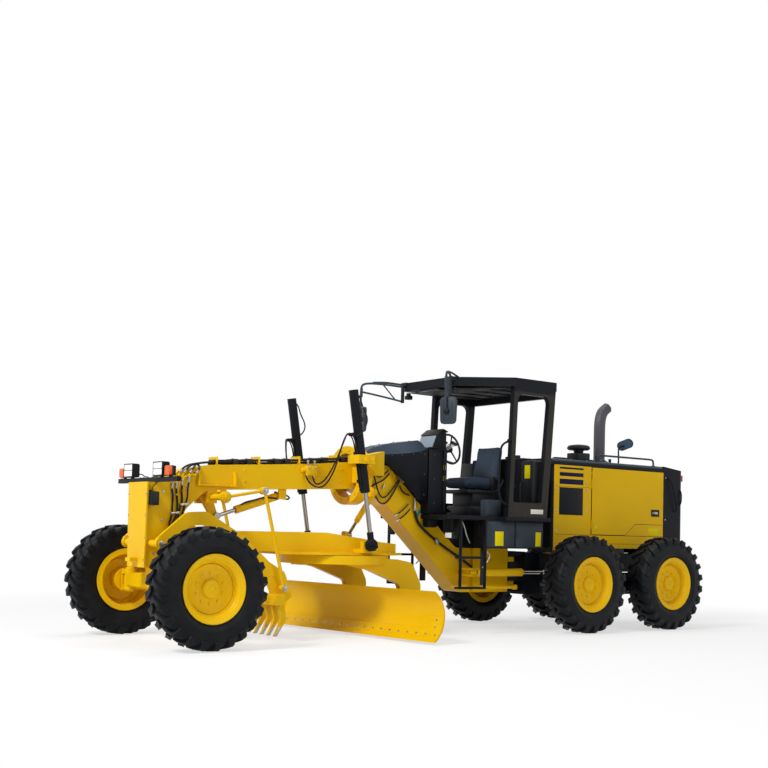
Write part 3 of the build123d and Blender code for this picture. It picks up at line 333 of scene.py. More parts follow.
class Finish(Enum):
    """Every finish on the machine."""

    YELLOW = Enamel("yellow_enamel", (0.84, 0.5, 0.002), 0.34, 0.02, (0.5, 0.33, 0.08), 0.03)
    BLACK = Enamel("satin_black_enamel", (0.0075, 0.0092, 0.0125), 0.42, 0.0, (0.05, 0.05, 0.055), 0.04, 0.1)
    # Black enamel made lighter and bluer for the upward faces of the hood's top and the cowl: a painted sky
    # sheen, not a second paint.
    PAINTED_TOP_SHEEN = Enamel("black_enamel_painted_top_sheen", (0.03, 0.05, 0.072), 0.4, 0.0, (0.06, 0.07, 0.08), 0.04, 0.15)
    POST = Enamel("post_brown_black", (0.03, 0.026, 0.022), 0.45, 0.0, (0.1, 0.09, 0.08), 0.12)
    GREY = Enamel("charcoal_enamel", (0.04, 0.051, 0.066), 0.42, 0.0, (0.1, 0.095, 0.09), 0.1)
    # Also used for the near-black disc in the exhaust's mouth, painted shade with soot.
    LINING_AND_MOUTH_SHADE = Enamel("roof_lining", (0.006, 0.006, 0.007), 0.6, 0.0, (0.03, 0.03, 0.03), 0.05)
    SLATE = Enamel("pale_slate", (0.3, 0.36, 0.42), 0.5, 0.0, (0.3, 0.3, 0.3), 0.05)
    NAVY = Enamel("navy_stripe", (0.0008, 0.002, 0.03), 0.45, 0.0, (0.1, 0.1, 0.1), 0.04)
    LABEL = Enamel("blank_yellow_label", (0.8, 0.66, 0.0), 0.5, 0.0, (0.3, 0.3, 0.2), 0.04)
    PALE_LABEL = Enamel("blank_pale_label", (0.75, 0.72, 0.62), 0.5, 0.0, (0.3, 0.3, 0.2), 0.04)
    TEAL = Enamel("teal_tag", (0.02, 0.3, 0.33), 0.5, 0.0, (0.3, 0.3, 0.2), 0.03)
    BLUE = Enamel("blue_band", (0.02, 0.09, 0.5), 0.5, 0.0, (0.3, 0.3, 0.3), 0.03)
    RED_BAND = Enamel("red_band", (0.55, 0.02, 0.02), 0.5, 0.0, (0.3, 0.3, 0.3), 0.03)
    EXHAUST = BareMetal("exhaust_grey", (0.05, 0.05, 0.058), 0.5, 0.35)
    RUBBER = TyreRubber()
    CHROME = BareMetal("chromed_rod", (0.36, 0.35, 0.33), 0.2, 1.0, (1, 1, 0.05), 0.03)
    ZINC = BareMetal("zinc_fittings", (0.42, 0.42, 0.41), 0.36)
    STEEL = BareMetal("machined_steel", (0.4, 0.39, 0.38), 0.35)
    CASTING = BareMetal("grey_casting", (0.16, 0.16, 0.165), 0.6, 0.7, (1, 1, 1), 0.4)
    HOSE = Moulded("hydraulic_hose", (0.012, 0.012, 0.013), 0.45, 900.0, 0.4)
    PLASTIC = Moulded("black_moulding", (0.016, 0.017, 0.019), 0.42)
    VINYL = Moulded("seat_vinyl", (0.03, 0.047, 0.072), 0.6, 420.0, 0.5)
    HEADLAMP = Lens("headlamp_lens", (0.86, 0.88, 0.9), 60.0, 0.0, 0.1, 0.25)
    AMBER = Lens("amber_lens", (0.85, 0.11, 0.002), 80.0, 0.0, 0.3)
    RED = Lens("red_lens", (0.5, 0.01, 0.01), 80.0)
    # Hood mirror pane: dark blue and not metallic, a painted reflection of the sky in place of a mirror.
    PAINTED_SKY_REFLECTION = Lens("mirror_glass_painted_sky_reflection", (0.06, 0.11, 0.16), 0.0, 0.0, 0.1)
    MIRROR = Lens("mirror_glass", (0.8, 0.84, 0.86), 0.0, 1.0, 0.03)
    GRILLE = FineMesh("radiator_guard", (0.03, 0.032, 0.035))


MATERIALS: dict[Finish, bpy.types.Material] = {}


def material(finish: Finish) -> bpy.types.Material:
    """The material of a finish, made once."""
    if finish not in MATERIALS:
        MATERIALS[finish] = finish.value.build()
    return MATERIALS[finish]


# ---- mesh work
class Shape:
    """A mesh under construction, in the machine's own frame."""

    def __init__(self) -> None:
        """Start an empty mesh."""
        self.mesh = bmesh.new()

    def _bevel(self, verts: list, width: float, segments: int = 2) -> None:
        """Round the sharp edges between some vertices.

        Args:
            verts: Vertices whose edges are rounded.
            width: Width of the rounding in metres.
            segments: Steps across it.
        """
        edges = {e for v in verts for e in v.link_edges if len(e.link_faces) == 2 and e.calc_face_angle() > 0.5}
        bmesh.ops.bevel(self.mesh, geom=list(edges), offset=width, offset_type="OFFSET", segments=segments,
                        profile=0.5, affect="EDGES", clamp_overlap=True, material=-1)

    def box(self, low: Vector, high: Vector, bevel: float = 0.004, turn: Matrix | None = None) -> Shape:
        """Add a box between two corners.

        Args:
            low: Lowest corner.
            high: Highest corner.
            bevel: Width of its rounded edges.
            turn: Rotation about its middle.

        Returns:
            The shape itself.
        """
        verts = bmesh.ops.create_cube(self.mesh, size=1.0)["verts"]
        bmesh.ops.scale(self.mesh, vec=high - low, verts=verts)
        if turn is not None:
            bmesh.ops.rotate(self.mesh, cent=(0, 0, 0), matrix=turn.to_3x3(), verts=verts)
        bmesh.ops.translate(self.mesh, vec=(low + high) / 2, verts=verts)
        if bevel:
            self._bevel(verts, bevel)
        return self

    def rod(self, start: Vector, end: Vector, radius: float, tip: float | None = None,
            sides: int = 24, bevel: float = 0.0) -> Shape:
        """Add a round bar or cone between two points.

        Args:
            start: Middle of the first end.
            end: Middle of the last end.
            radius: Radius at the start.
            tip: Radius at the end, if it differs.
            sides: Faces round it.
            bevel: Width of its rounded rims.

        Returns:
            The shape itself.
        """
        way = end - start
        place = Matrix.Translation((start + end) / 2) @ way.to_track_quat("Z", "Y").to_matrix().to_4x4()
        verts = bmesh.ops.create_cone(
            self.mesh, cap_ends=True, segments=sides, radius1=radius,
            radius2=radius if tip is None else tip, depth=way.length, matrix=place)["verts"]
        if bevel:
            self._bevel(verts, bevel)
        return self

    def nut(self, middle: Vector, way: Vector, radius: float, height: float) -> Shape:
        """Add a hexagon bolt head with its washer.

        Args:
            middle: Middle of its seat.
            way: Direction it stands out.
            radius: Radius over its corners.
            height: Height of the head.

        Returns:
            The shape itself.
        """
        way = way.normalized()
        self.rod(middle - way * 0.002, middle + way * height * 0.2, radius * 1.3, sides=16)
        return self.rod(middle, middle + way * height, radius, sides=6, bevel=radius * 0.12)

    def nuts(self, spots: list, way: Vector, radius: float, height: float) -> Shape:
        """Add equal bolt heads at several spots."""
        for spot in spots:
            self.nut(spot, way, radius, height)
        return self

    def turned(self, rows: list, centre: Vector, way: Vector, steps: int = 48) -> Shape:
        """Spin an open profile that starts and ends on its axis, or a closed one.

        Args:
            rows: (radius, height) pairs along the axis.
            centre: Origin of the heights.
            way: Direction of the axis.
            steps: Faces round it.

        Returns:
            The shape itself.
        """
        way = way.normalized()
        out = way.orthogonal().normalized()
        verts = [self.mesh.verts.new(centre + out * r + way * h) for r, h in rows]
        edges = [self.mesh.edges.new(pair) for pair in zip(verts, verts[1:])]
        if rows[0][0] > 0:
            edges.append(self.mesh.edges.new((verts[-1], verts[0])))
        before = set(self.mesh.verts) - set(verts)
        bmesh.ops.spin(self.mesh, geom=verts + edges, cent=centre, axis=way, dvec=(0, 0, 0),
                       angle=math.tau, steps=steps, use_merge=True)
        ring = [v for v in self.mesh.verts if v not in before]
        bmesh.ops.remove_doubles(self.mesh, verts=ring, dist=1e-5)
        return self

    def tube(self, points: list, radius: float) -> Shape:
        """Add a round tube along one smooth curve.

        Args:
            points: Control points of the curve.
            radius: Radius of the tube.

        Returns:
            The shape itself.
        """
        curve = bpy.data.curves.new("run", "CURVE")
        curve.dimensions, curve.bevel_depth, curve.bevel_resolution = "3D", radius, 2
        curve.resolution_u, curve.use_fill_caps = 4, True
        spline = curve.splines.new("NURBS")
        spline.points.add(len(points) - 1)
        for spot, point in zip(spline.points, points):
            spot.co = (*point, 1)
        spline.order_u, spline.use_endpoint_u = 3, True
        temporary = bpy.data.objects.new("run", curve)
        mesh = bpy.data.meshes.new_from_object(temporary)
        self.mesh.from_mesh(mesh)
        bpy.data.objects.remove(temporary)
        bpy.data.curves.remove(curve)
        bpy.data.meshes.remove(mesh)
        return self

    def plate(self, rows: list, depth: Vector, bevel: float = 0.003) -> Shape:
        """Extrude a flat outline.

        Args:
            rows: Corner points in order.
            depth: Direction and thickness.
            bevel: Width of its rounded edges.

        Returns:
            The shape itself.
        """
        verts = [self.mesh.verts.new(p) for p in rows]
        face = self.mesh.faces.new(verts)
        made = bmesh.ops.extrude_face_region(self.mesh, geom=[face])["geom"]
        moved = [g for g in made if isinstance(g, bmesh.types.BMVert)]
        bmesh.ops.translate(self.mesh, vec=depth, verts=moved)
        if bevel:
            self._bevel(verts + moved, bevel)
        return self

    def mirror_y(self) -> Shape:
        """Add the mirror image on the other side of the machine."""
        copy = bmesh.ops.duplicate(self.mesh, geom=self.mesh.verts[:] + self.mesh.edges[:] + self.mesh.faces[:])
        verts = [g for g in copy["geom"] if isinstance(g, bmesh.types.BMVert)]
        faces = [g for g in copy["geom"] if isinstance(g, bmesh.types.BMFace)]
        bmesh.ops.scale(self.mesh, vec=(1, -1, 1), verts=verts)
        bmesh.ops.reverse_faces(self.mesh, faces=faces)
        return self

    def finished(self, name: str, finish: Finish, smooth: float = 35.0) -> bpy.types.Mesh:
        """Turn the shape into a mesh with its finish.

        Args:
            name: Name of the mesh.
            finish: Its finish.
            smooth: Edges sharper than this many degrees stay sharp.

        Returns:
            The new mesh.
        """
        bmesh.ops.recalc_face_normals(self.mesh, faces=self.mesh.faces[:])
        mesh = bpy.data.meshes.new(name)
        self.mesh.to_mesh(mesh)
        self.mesh.free()
        mesh.shade_smooth()
        mesh.set_sharp_from_angle(angle=math.radians(smooth))
        mesh.materials.append(material(finish))
        return mesh

    def piece(self, name: str, finish: Finish, body: str = "front_frame", slot: str = "frame_black",
              smooth: float = 35.0) -> bpy.types.Object:
        """Turn the shape into a piece that rides on a body.

        Args:
            name: Name of the piece.
            finish: Its finish.
            body: CAD body it rides on.
            slot: Material slot of the record.
            smooth: Edges sharper than this many degrees stay sharp.

        Returns:
            The new object.
        """
        return stand(self.finished(name, finish, smooth), name, body, slot)


def stand(mesh: bpy.types.Mesh, name: str, body: str, slot: str) -> bpy.types.Object:
    """Put a mesh in the scene as a piece that rides on a body.

    Args:
        mesh: Finished mesh.
        name: Name of the piece.
        body: CAD body it rides on.
        slot: Material slot of the record.

    Returns:
        The new object.
    """
    made = bpy.data.objects.new(name, mesh)
    bpy.context.scene.collection.objects.link(made)
    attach(made, body)
    LOG.info("%s rides on %s", name, body)
    return made


def softened(node: str, finish: Finish, width: float = 0.005, cuts: tuple = (),
             patches: tuple = ()) -> bpy.types.Object:
    """Stand a copy with rounded edges in a CAD node's place.

    Args:
        node: Name of the CAD node.
        finish: Finish of the copy.
        width: Width of its rounded edges.
        cuts: Planes, each a point and a normal, that part its faces.
        patches: Second finishes, each with the corners of the box that holds its faces' middles.

    Returns:
        The copy.
    """
    shape = Shape()
    shape.mesh.from_mesh(frame["nodes"][node].data)
    bmesh.ops.remove_doubles(shape.mesh, verts=shape.mesh.verts[:], dist=2e-5)
    bmesh.ops.dissolve_limit(shape.mesh, angle_limit=0.004, verts=shape.mesh.verts[:],
                             edges=shape.mesh.edges[:])
    for spot, normal in cuts:
        whole = shape.mesh.verts[:] + shape.mesh.edges[:] + shape.mesh.faces[:]
        bmesh.ops.bisect_plane(shape.mesh, geom=whole, plane_co=spot, plane_no=normal)
    made = shape.piece(f"{node}_shell", finish, BODY_OF[node], SLOT_OF[node], 32.0)
    for number, (second, low, high) in enumerate(patches, 1):
        made.data.materials.append(material(second))
        for face in made.data.polygons:
            if all(a <= c <= b for a, c, b in zip(low, face.center, high)):
                face.material_index = number
    bevel = made.modifiers.new("edges", "BEVEL")
    bevel.width, bevel.segments, bevel.limit_method, bevel.angle_limit = width, 2, "ANGLE", math.radians(32)
    bevel.use_clamp_overlap, bevel.miter_outer = True, "MITER_ARC"
    normals = made.modifiers.new("normals", "WEIGHTED_NORMAL")
    normals.keep_sharp = True
    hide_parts(node)
    return made


# ---- wheels
@dataclass
class Tyre:
    """Tyre with slanting traction lugs, made round the world's origin."""

    lugs: int = 23
    carcass: float = 0.592
    half: float = 0.1725
    bead: float = 0.356

    def _carcass(self) -> Shape:
        """Spin the casing with its bead, sidewall ribs and shoulder."""
        half, shape = self.half, Shape()
        wall = [
            (self.bead - 0.006, half - 0.034), (self.bead + 0.012, half - 0.026),
            (self.bead + 0.02, half - 0.014),
            (0.392, half - 0.005), (0.42, half - 0.001), (0.425, half), (0.43, half - 0.001),
            (0.47, half - 0.003),
            (0.505, half - 0.007), (0.53, half - 0.013), (0.552, half - 0.022), (0.572, half - 0.036),
            (0.585, half - 0.055), (self.carcass, half - 0.08), (self.carcass + 0.002, 0.03),
        ]
        rows = wall + [(r, -w) for r, w in reversed(wall)]
        return shape.turned(rows, Vector(), Y, 96)

    def _lug(self, side: int) -> bmesh.types.BMesh:
        """One lug that runs from the middle of the tread over the shoulder and down the wall.

        Args:
            side: Which half of the tread it stands on.

        Returns:
            The lug's mesh.
        """
        path = [(0.0, 0.008, 0.6212, 0.588), (0.35, 0.07, 0.6205, 0.586), (0.62, 0.135, 0.617, 0.578),
                (0.74, 0.158, 0.604, 0.562), (0.84, 0.169, 0.582, 0.548), (0.93, 0.1712, 0.552, 0.532),
                (1.0, 0.1715, 0.522, 0.518)]
        lug = bmesh.new()
        bmesh.ops.create_cube(lug, size=1.0)
        long = [e for e in lug.edges if abs((e.verts[0].co - e.verts[1].co).y) > 0.5]
        bmesh.ops.subdivide_edges(lug, edges=long, cuts=len(path) - 2, use_grid_fill=True)
        for v in lug.verts:
            spot = min(len(path) - 1, round((v.co.y + 0.5) * (len(path) - 1)))
            along, w, top, foot = path[spot]
            raised = v.co.z > 0
            radius = top if raised else foot
            if not raised:
                w = max(0.003, w - 0.012 * (along > 0.6))
            wide = 0.05 + 0.026 * along + (0.0 if raised else 0.016)
            sweep = (v.co.x * wide + 0.115 * min(along, 0.8) ** 0.9) / 0.6
            v.co = Vector((math.sin(sweep) * radius, side * w, math.cos(sweep) * radius))
        top = [e for e in lug.edges if len(e.link_faces) == 2 and e.calc_face_angle(0) > 0.7]
        bmesh.ops.bevel(lug, geom=top, offset=0.0035, offset_type="OFFSET", segments=1, profile=0.5,
                        affect="EDGES", clamp_overlap=True, material=-1)
        return lug

    def mesh(self) -> bpy.types.Mesh:
        """Casing and both rows of lugs as one mesh."""
        shape = self._carcass()
        for side in SIDES:
            lug = self._lug(side)
            turn = Matrix.Rotation(0.25 * side * math.tau / self.lugs, 4, "Y")
            bmesh.ops.rotate(lug, cent=(0, 0, 0), matrix=turn, verts=lug.verts[:])
            bmesh.ops.spin(lug, geom=lug.verts[:] + lug.edges[:] + lug.faces[:], cent=(0, 0, 0), axis=(0, 1, 0),
                           angle=math.tau * (self.lugs - 1) / self.lugs, steps=self.lugs - 1,
                           use_duplicate=True)
            row = bpy.data.meshes.new("lug_row")
            lug.to_mesh(row)
            lug.free()
            shape.mesh.from_mesh(row)
        return shape.finished("tyre", Finish.RUBBER, 38.0)


@dataclass
class Rim:
    """Dished rim with ten nuts, a domed cap and a valve, made round the world's origin; +Y is outward."""

    half: float = 0.1425
    nuts: int = 10
    nut_circle: float = 0.155

    def mesh(self) -> bpy.types.Mesh:
        """Spin the rim and set its nuts round the hub."""
        half, rim, out = self.half, Shape(), Y
        rows = [
            (0.0, 0.104), (0.024, 0.104), (0.03, 0.1), (0.034, 0.094), (0.07, 0.09), (0.088, 0.084),
            (0.097, 0.074),
            (0.101, 0.056), (0.112, 0.05), (0.116, 0.047), (0.196, 0.045), (0.21, 0.041), (0.222, 0.043),
            (0.238, 0.055), (0.244, 0.061), (0.249, 0.062), (0.2515, 0.05), (0.2545, 0.05), (0.257, 0.068),
            (0.266, 0.072), (0.27, half - 0.034), (0.282, half - 0.018), (0.298, half - 0.008),
            (0.302, half - 0.002),
            (0.31, half + 0.0), (0.326, half + 0.006), (0.336, half + 0.0125), (0.35, half + 0.0115),
            (0.353, half + 0.004), (0.35, half - 0.004), (0.306, half - 0.006), (0.305, -half), (0.35, -half),
            (0.353, -half - 0.006), (0.348, -half - 0.012), (0.288, -half - 0.012), (0.284, 0.03),
            (0.262, 0.044),
            (0.244, 0.04), (0.229, 0.02), (0.13, 0.022), (0.13, -0.13), (0.05, -0.13), (0.05, 0.04),
            (0.0, 0.04),
        ]
        rim.turned(rows, Vector(), out, 96)
        for spot in around(out * 0.045, self.nut_circle, self.nuts, Z, X):
            rim.rod(spot, spot + out * 0.012, 0.017, 0.0155, sides=20, bevel=0.003)
        rim.rod(Vector((0, 0.06, 0.262)), Vector((0, 0.12, 0.27)), 0.006, sides=12)
        return rim.finished("rim", Finish.YELLOW, 40.0)


@dataclass
class Wheel:
    """One wheel: copies of the tyre and the rim, set on its hub."""

    place: str
    side: int

    def build(self, tyre: bpy.types.Mesh, rim: bpy.types.Mesh) -> None:
        """Stand both copies in the CAD nodes' places.

        Args:
            tyre: Mesh of the tyre round the origin.
            rim: Mesh of the rim round the origin.
        """
        name = f"{self.place}_{'left' if self.side > 0 else 'right'}"
        low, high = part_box(f"tyre_{name}")
        for kind, model in (("tyre", tyre), ("rim", rim)):
            mesh = model.copy()
            if self.side < 0:
                mesh.transform(Matrix.Diagonal((1, -1, 1, 1)))
                mesh.flip_normals()
            mesh.transform(Matrix.Translation((low + high) / 2))
            made = stand(mesh, f"{kind}_{name}_made", f"wheel_{name}", SLOT_OF[f"{kind}_{name}"])
            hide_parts(f"{kind}_{name}")


# ---- front of the machine
@dataclass
class Nose:
    """Cover bolts, screws, hoses and the horn on the nose of the front frame."""

    face: float = 0.31
    flank: float = 0.19
    hose_r: float = 0.0105
    runs: tuple = (
        ((0.014, 1.64), (-0.006, 1.56), (0.004, 1.46), (0.0, 1.36), (0.03, 1.28), (0.042, 1.16)),
        ((-0.038, 1.642), (-0.05, 1.56), (-0.06, 1.46), (-0.05, 1.36), (-0.01, 1.28), (0.0, 1.2)),
        ((-0.106, 1.676), (-0.1, 1.6), (-0.115, 1.52), (-0.09, 1.44), (-0.075, 1.36), (-0.05, 1.25)),
        ((-0.183, 1.711), (-0.17, 1.64), (-0.175, 1.56), (-0.15, 1.47), (-0.125, 1.4), (-0.1, 1.3)),
    )

    def bolts(self) -> None:
        """Bolts of the front cover and screws of the flanks."""
        heads = Shape()
        for z in (1.573, 1.349, 1.114, 0.88):
            edge = 0.19 + 0.0267 * (z - 0.8)
            heads.nuts([at(self.face, y, z) for y in (-edge, edge)], X, 0.008, 0.005)
        heads.piece("cover_bolts", Finish.STEEL, slot="machine_yellow")
        screws = Shape()
        screws.nuts(flat(self.flank, (0.105, 1.6), (0.115, 1.3), (-0.09, 0.95), (0.2, 0.95)), Y, 0.011, 0.008)
        screws.nut(at(-0.2, 0.15, 1.76), Y, 0.011, 0.008)
        screws.mirror_y().piece("nose_screws", Finish.ZINC, slot="machine_yellow")

    def hoses(self) -> None:
        """Four hoses from the top of the nose down behind the draft arm, with their fittings."""
        rubber, metal, pipes = Shape(), Shape(), Shape()
        rings = (Finish.BLUE, Finish.LABEL, Finish.RED_BAND, Finish.BLUE)
        for number, (run, ring) in enumerate(zip(self.runs, rings)):
            top = at(run[0][0], 0.203, run[0][1])
            rubber.tube(flat(0.203, *run) + [at(run[-1][0], 0.2, run[-1][1] - 0.1)], self.hose_r)
            metal.rod(top, top + Vector((-0.004, 0, 0.058)), 0.0125, bevel=0.002)
            metal.nut(top + Vector((-0.004, 0, 0.05)), Z, 0.017, 0.018)
            joint = at(run[0][0] - 0.085, 0.2, 1.815)
            pipes.tube([top + Vector((-0.004, 0, 0.06)), top + Vector((-0.02, 0, 0.1)), joint - 0.03 * Z,
                        joint], 0.009)
            metal.rod(joint, joint + Vector((-0.03, -0.01, 0.03)), 0.0125, bevel=0.002)
            metal.nut(joint, Vector((-0.03, -0.01, 0.03)), 0.016, 0.015)
            lane = 0.06 - 0.035 * number
            rubber.tube([joint + Vector((-0.02, -0.005, 0.02)), joint + Vector((-0.08, -0.04, 0.08)),
                         at(-0.36, lane + 0.03, 1.935), at(-0.6, lane, 1.965), at(-0.9, lane, 1.972)], 0.012)
            mark = at(run[1][0] + 0.004, 0.203, run[1][1] + 0.01)
            band = Shape().rod(mark, mark + Vector((0.002, 0, 0.016)), 0.0125)
            band.piece(f"hose_mark_{number}", ring)
        for x, z in ((-0.03, 1.38), (-0.135, 1.475)):
            metal.box(at(x - 0.05, 0.188, z - 0.014), at(x + 0.05, 0.222, z + 0.014), 0.006,
                      Matrix.Rotation(0.12, 3, "Y"))
            metal.nut(at(x, 0.222, z), Y, 0.009, 0.007)
        rubber.piece("nose_hoses", Finish.HOSE)
        metal.piece("nose_fittings", Finish.ZINC, slot="machine_yellow")
        pipes.piece("nose_pipes", Finish.YELLOW, slot="machine_yellow")

    def horn(self) -> None:
        """Ribbed horn box on the flank with its wire."""
        box = Shape().box(at(0.2, 0.19, 1.455), at(0.282, 0.302, 1.6), 0.012)
        for step in range(9):
            y = 0.2 + 0.0115 * step
            box.box(at(0.28, y, 1.468), at(0.288, y + 0.005, 1.588), 0.001)
        box.box(at(0.24, 0.185, 1.6), at(0.27, 0.23, 1.612), 0.003)
        box.tube([at(0.25, 0.22, 1.61), at(0.25, 0.23, 1.66), at(0.215, 0.235, 1.67), at(0.2, 0.22, 1.72)],
                 0.005)
        box.piece("horn", Finish.PLASTIC)

    def build(self) -> None:
        """Dress the nose."""
        self.bolts()
        self.hoses()
        self.horn()


@dataclass
class LampBar:
    """Lenses, bezels and wires on the lamp bar."""

    lamp_y: float = 0.36
    flasher_y: float = 0.556
    low: float = 1.7003

    def build(self) -> None:
        """Fit both headlamps and both turn lamps."""
        glass, amber, bezel, wires = Shape(), Shape(), Shape(), Shape()
        low, y = self.low, self.lamp_y
        for step in (0, 1):
            z = low + 0.07 + step * 0.066
            glass.box(at(0.26, y - 0.094, z), at(0.2665, y + 0.094, z + 0.06), 0.004)
        bezel.box(at(0.254, y - 0.112, low + 0.056), at(0.264, y + 0.112, low + 0.07), 0.003)
        bezel.box(at(0.254, y - 0.112, low + 0.196), at(0.264, y + 0.112, low + 0.208), 0.003)
        for side in (-0.112, 0.096):
            bezel.box(at(0.254, y + side, low + 0.056), at(0.264, y + side + 0.016, low + 0.208), 0.003)
        amber.box(at(0.21, self.flasher_y - 0.054, low + 0.06), at(0.258, self.flasher_y + 0.054, low + 0.162),
                  0.012)
        bezel.box(at(0.2, self.flasher_y - 0.056, low + 0.058), at(0.212, self.flasher_y + 0.056, low + 0.164),
                  0.003)
        wires.tube([at(0.18, y, low + 0.08), at(0.14, y - 0.06, low + 0.11), at(0.13, 0.2, low + 0.06),
                    at(0.16, 0.12, low + 0.07), at(0.17, 0.03, low + 0.05)], 0.006)
        wires.tube([at(0.18, self.flasher_y, low + 0.08), at(0.15, 0.5, low + 0.06),
                    at(0.16, 0.42, low + 0.055)], 0.005)
        bezel.nuts([at(0.19, bolt, low + 0.05) for bolt in (0.12, 0.2, 0.68)], Z, 0.01, 0.007)
        glass.mirror_y().piece("headlamp_lenses", Finish.HEADLAMP, slot="lamp_black")
        amber.mirror_y().piece("turn_lamp_lenses", Finish.AMBER, slot="lamp_black")
        bezel.mirror_y().piece("lamp_bezels", Finish.PLASTIC, slot="lamp_black")
        wires.mirror_y().piece("lamp_wires", Finish.HOSE, slot="lamp_black")


@dataclass
class Beam:
    """Hose bundle, clamps and brackets along the gooseneck, and the hoses round the saddle."""

    line: tuple = ((-0.12, 1.85), (-0.5, 1.92), (-1.65, 1.99), (-2.42, 2.058))

    def top(self, x: float) -> float:
        """Height of the beam's top at a station."""
        for (x0, z0), (x1, z1) in zip(self.line, self.line[1:]):
            if x >= x1:
                return z0 + (z1 - z0) * (x - x0) / (x1 - x0)
        return self.line[-1][1]

    def bundle(self) -> None:
        """Six hoses in two layers, held by black clamps and yellow brackets."""
        hoses, clamps, brackets = Shape(), Shape(), Shape()
        stations = [-0.55 - 0.19 * step for step in range(11)]
        for lane in range(6):
            y, lift = -0.065 + 0.026 * lane, 0.018 + 0.03 * (lane % 2)
            hoses.tube([at(x, y + 0.006 * math.sin(3 * lane + 7 * x), self.top(x) + lift) for x in stations],
                       0.0125)
        for x in (-0.82, -1.0, -1.36, -1.5, -1.85, -2.02, -2.28):
            top = self.top(x)
            clamps.box(at(x - 0.035, -0.09, top), at(x + 0.035, 0.09, top + 0.066), 0.006)
            clamps.nut(at(x, 0.0, top + 0.066), Z, 0.011, 0.008)
        for x in (-0.58, -1.117, -1.654, -2.19):
            top = self.top(x)
            brackets.box(at(x - 0.006, -0.1, top - 0.004), at(x + 0.006, 0.1, top + 0.092), 0.003)
            brackets.box(at(x - 0.04, -0.1, top - 0.004), at(x + 0.006, 0.1, top + 0.006), 0.002)
        hoses.piece("beam_hoses", Finish.HOSE)
        clamps.piece("hose_clamps", Finish.PLASTIC)
        brackets.piece("hose_brackets", Finish.YELLOW, slot="machine_yellow")

    def pockets(self) -> None:
        """Bolts of the flank and the two manifolds with their fittings."""
        bolts = Shape()
        bolts.nuts([at(x, 0.175, 1.702) for x in (-0.36, -0.54, -0.72)], Z, 0.012, 0.009)
        bolts.nuts(flat(0.15, (-0.9, 1.76), (-0.9, 1.88), (-2.2, 1.82), (-2.2, 1.96)), Y, 0.012, 0.009)
        bolts.mirror_y().piece("beam_bolts", Finish.YELLOW, slot="machine_yellow")
        block, ends = Shape(), Shape()
        block.box(at(-1.83, 0.149, 1.86), at(-1.68, 0.215, 1.975), 0.008)
        block.rod(at(-1.7, 0.18, 1.92), at(-1.63, 0.18, 1.925), 0.024, sides=24, bevel=0.004)
        for x in (-1.8, -1.71):
            ends.nut(at(x, 0.215, 1.945), Y, 0.012, 0.009)
            ends.rod(at(x + 0.015, 0.19, 1.862), at(x + 0.015, 0.19, 1.835), 0.014, bevel=0.002)
            ends.rod(at(x, 0.185, 1.974), at(x, 0.185, 2.03), 0.012, bevel=0.002)
            ends.nut(at(x, 0.185, 2.02), Z, 0.017, 0.018)
        block.mirror_y().piece("beam_manifolds", Finish.YELLOW, slot="machine_yellow")
        ends.mirror_y().piece("manifold_fittings", Finish.ZINC, slot="machine_yellow")

    def plumbing(self) -> None:
        """Hoses and valve blocks on the neck behind the saddle."""
        hoses, metal = Shape(), Shape()
        loops = (
            ((-2.6, 1.86), (-2.7, 1.62), (-2.82, 1.55), (-2.94, 1.66), (-3.05, 1.85)),
            ((-2.66, 1.9), (-2.72, 1.7), (-2.8, 1.63), (-2.9, 1.7), (-3.03, 1.87)),
            ((-2.62, 1.98), (-2.68, 1.88), (-2.78, 1.9), (-2.86, 1.98)),
            ((-2.64, 1.78), (-2.72, 1.82), (-2.82, 1.86), (-2.9, 1.94)),
            ((-3.05, 1.8), (-3.08, 1.7), (-3.2, 1.69)),
        )
        for number, loop in enumerate(loops):
            hoses.tube(flat(0.175 + 0.012 * (number % 3), *loop), 0.0095)
        for x, z in ((-3.02, 1.44), (-3.05, 1.38)):
            hoses.tube([at(x, 0.165, z), at(x - 0.09, 0.18, z + 0.05), at(x - 0.18, 0.175, z + 0.14)], 0.008)
            metal.rod(at(x + 0.03, 0.162, z - 0.02), at(x - 0.03, 0.168, z + 0.012), 0.0115, bevel=0.002)
        run = [(-3.3, 1.5), (-3.34, 1.36), (-3.46, 1.26), (-3.66, 1.13), (-3.86, 1.02), (-4.1, 0.9),
               (-4.3, 0.78)]
        hoses.tube(flat(0.178, *run), 0.017)
        metal.rod(at(-3.3, 0.178, 1.66), at(-3.3, 0.178, 1.5), 0.019, bevel=0.003)
        metal.nut(at(-3.3, 0.178, 1.53), Z, 0.026, 0.03)
        for x, z in ((-3.66, 1.13), (-4.05, 0.92)):
            metal.box(at(x - 0.025, 0.15, z - 0.035), at(x + 0.025, 0.202, z + 0.035), 0.006,
                      Matrix.Rotation(0.5, 3, "Y"))
        metal.box(at(-3.09, 0.15, 1.86), at(-3.02, 0.24, 1.94), 0.01, Matrix.Rotation(-0.6, 3, "Y"))
        metal.rod(at(-3.05, 0.235, 1.95), at(-3.07, 0.235, 1.84), 0.02, bevel=0.003)
        for x, z in ((-2.8, 1.75), (-2.92, 1.98)):
            metal.rod(at(x, 0.17, z), at(x - 0.03, 0.17, z + 0.06), 0.012, bevel=0.002)
        hoses.piece("neck_hoses", Finish.HOSE)
        metal.piece("neck_fittings", Finish.ZINC)
        tag = Shape().box(at(-3.4, 0.151, 1.43), at(-3.36, 0.155, 1.52), 0.0015, Matrix.Rotation(-0.5, 3, "Y"))
        tag.piece("blank_tag", Finish.TEAL, slot="machine_yellow")

    def build(self) -> None:
        """Dress the beam and the neck."""
        self.bundle()
        self.pockets()
        self.plumbing()


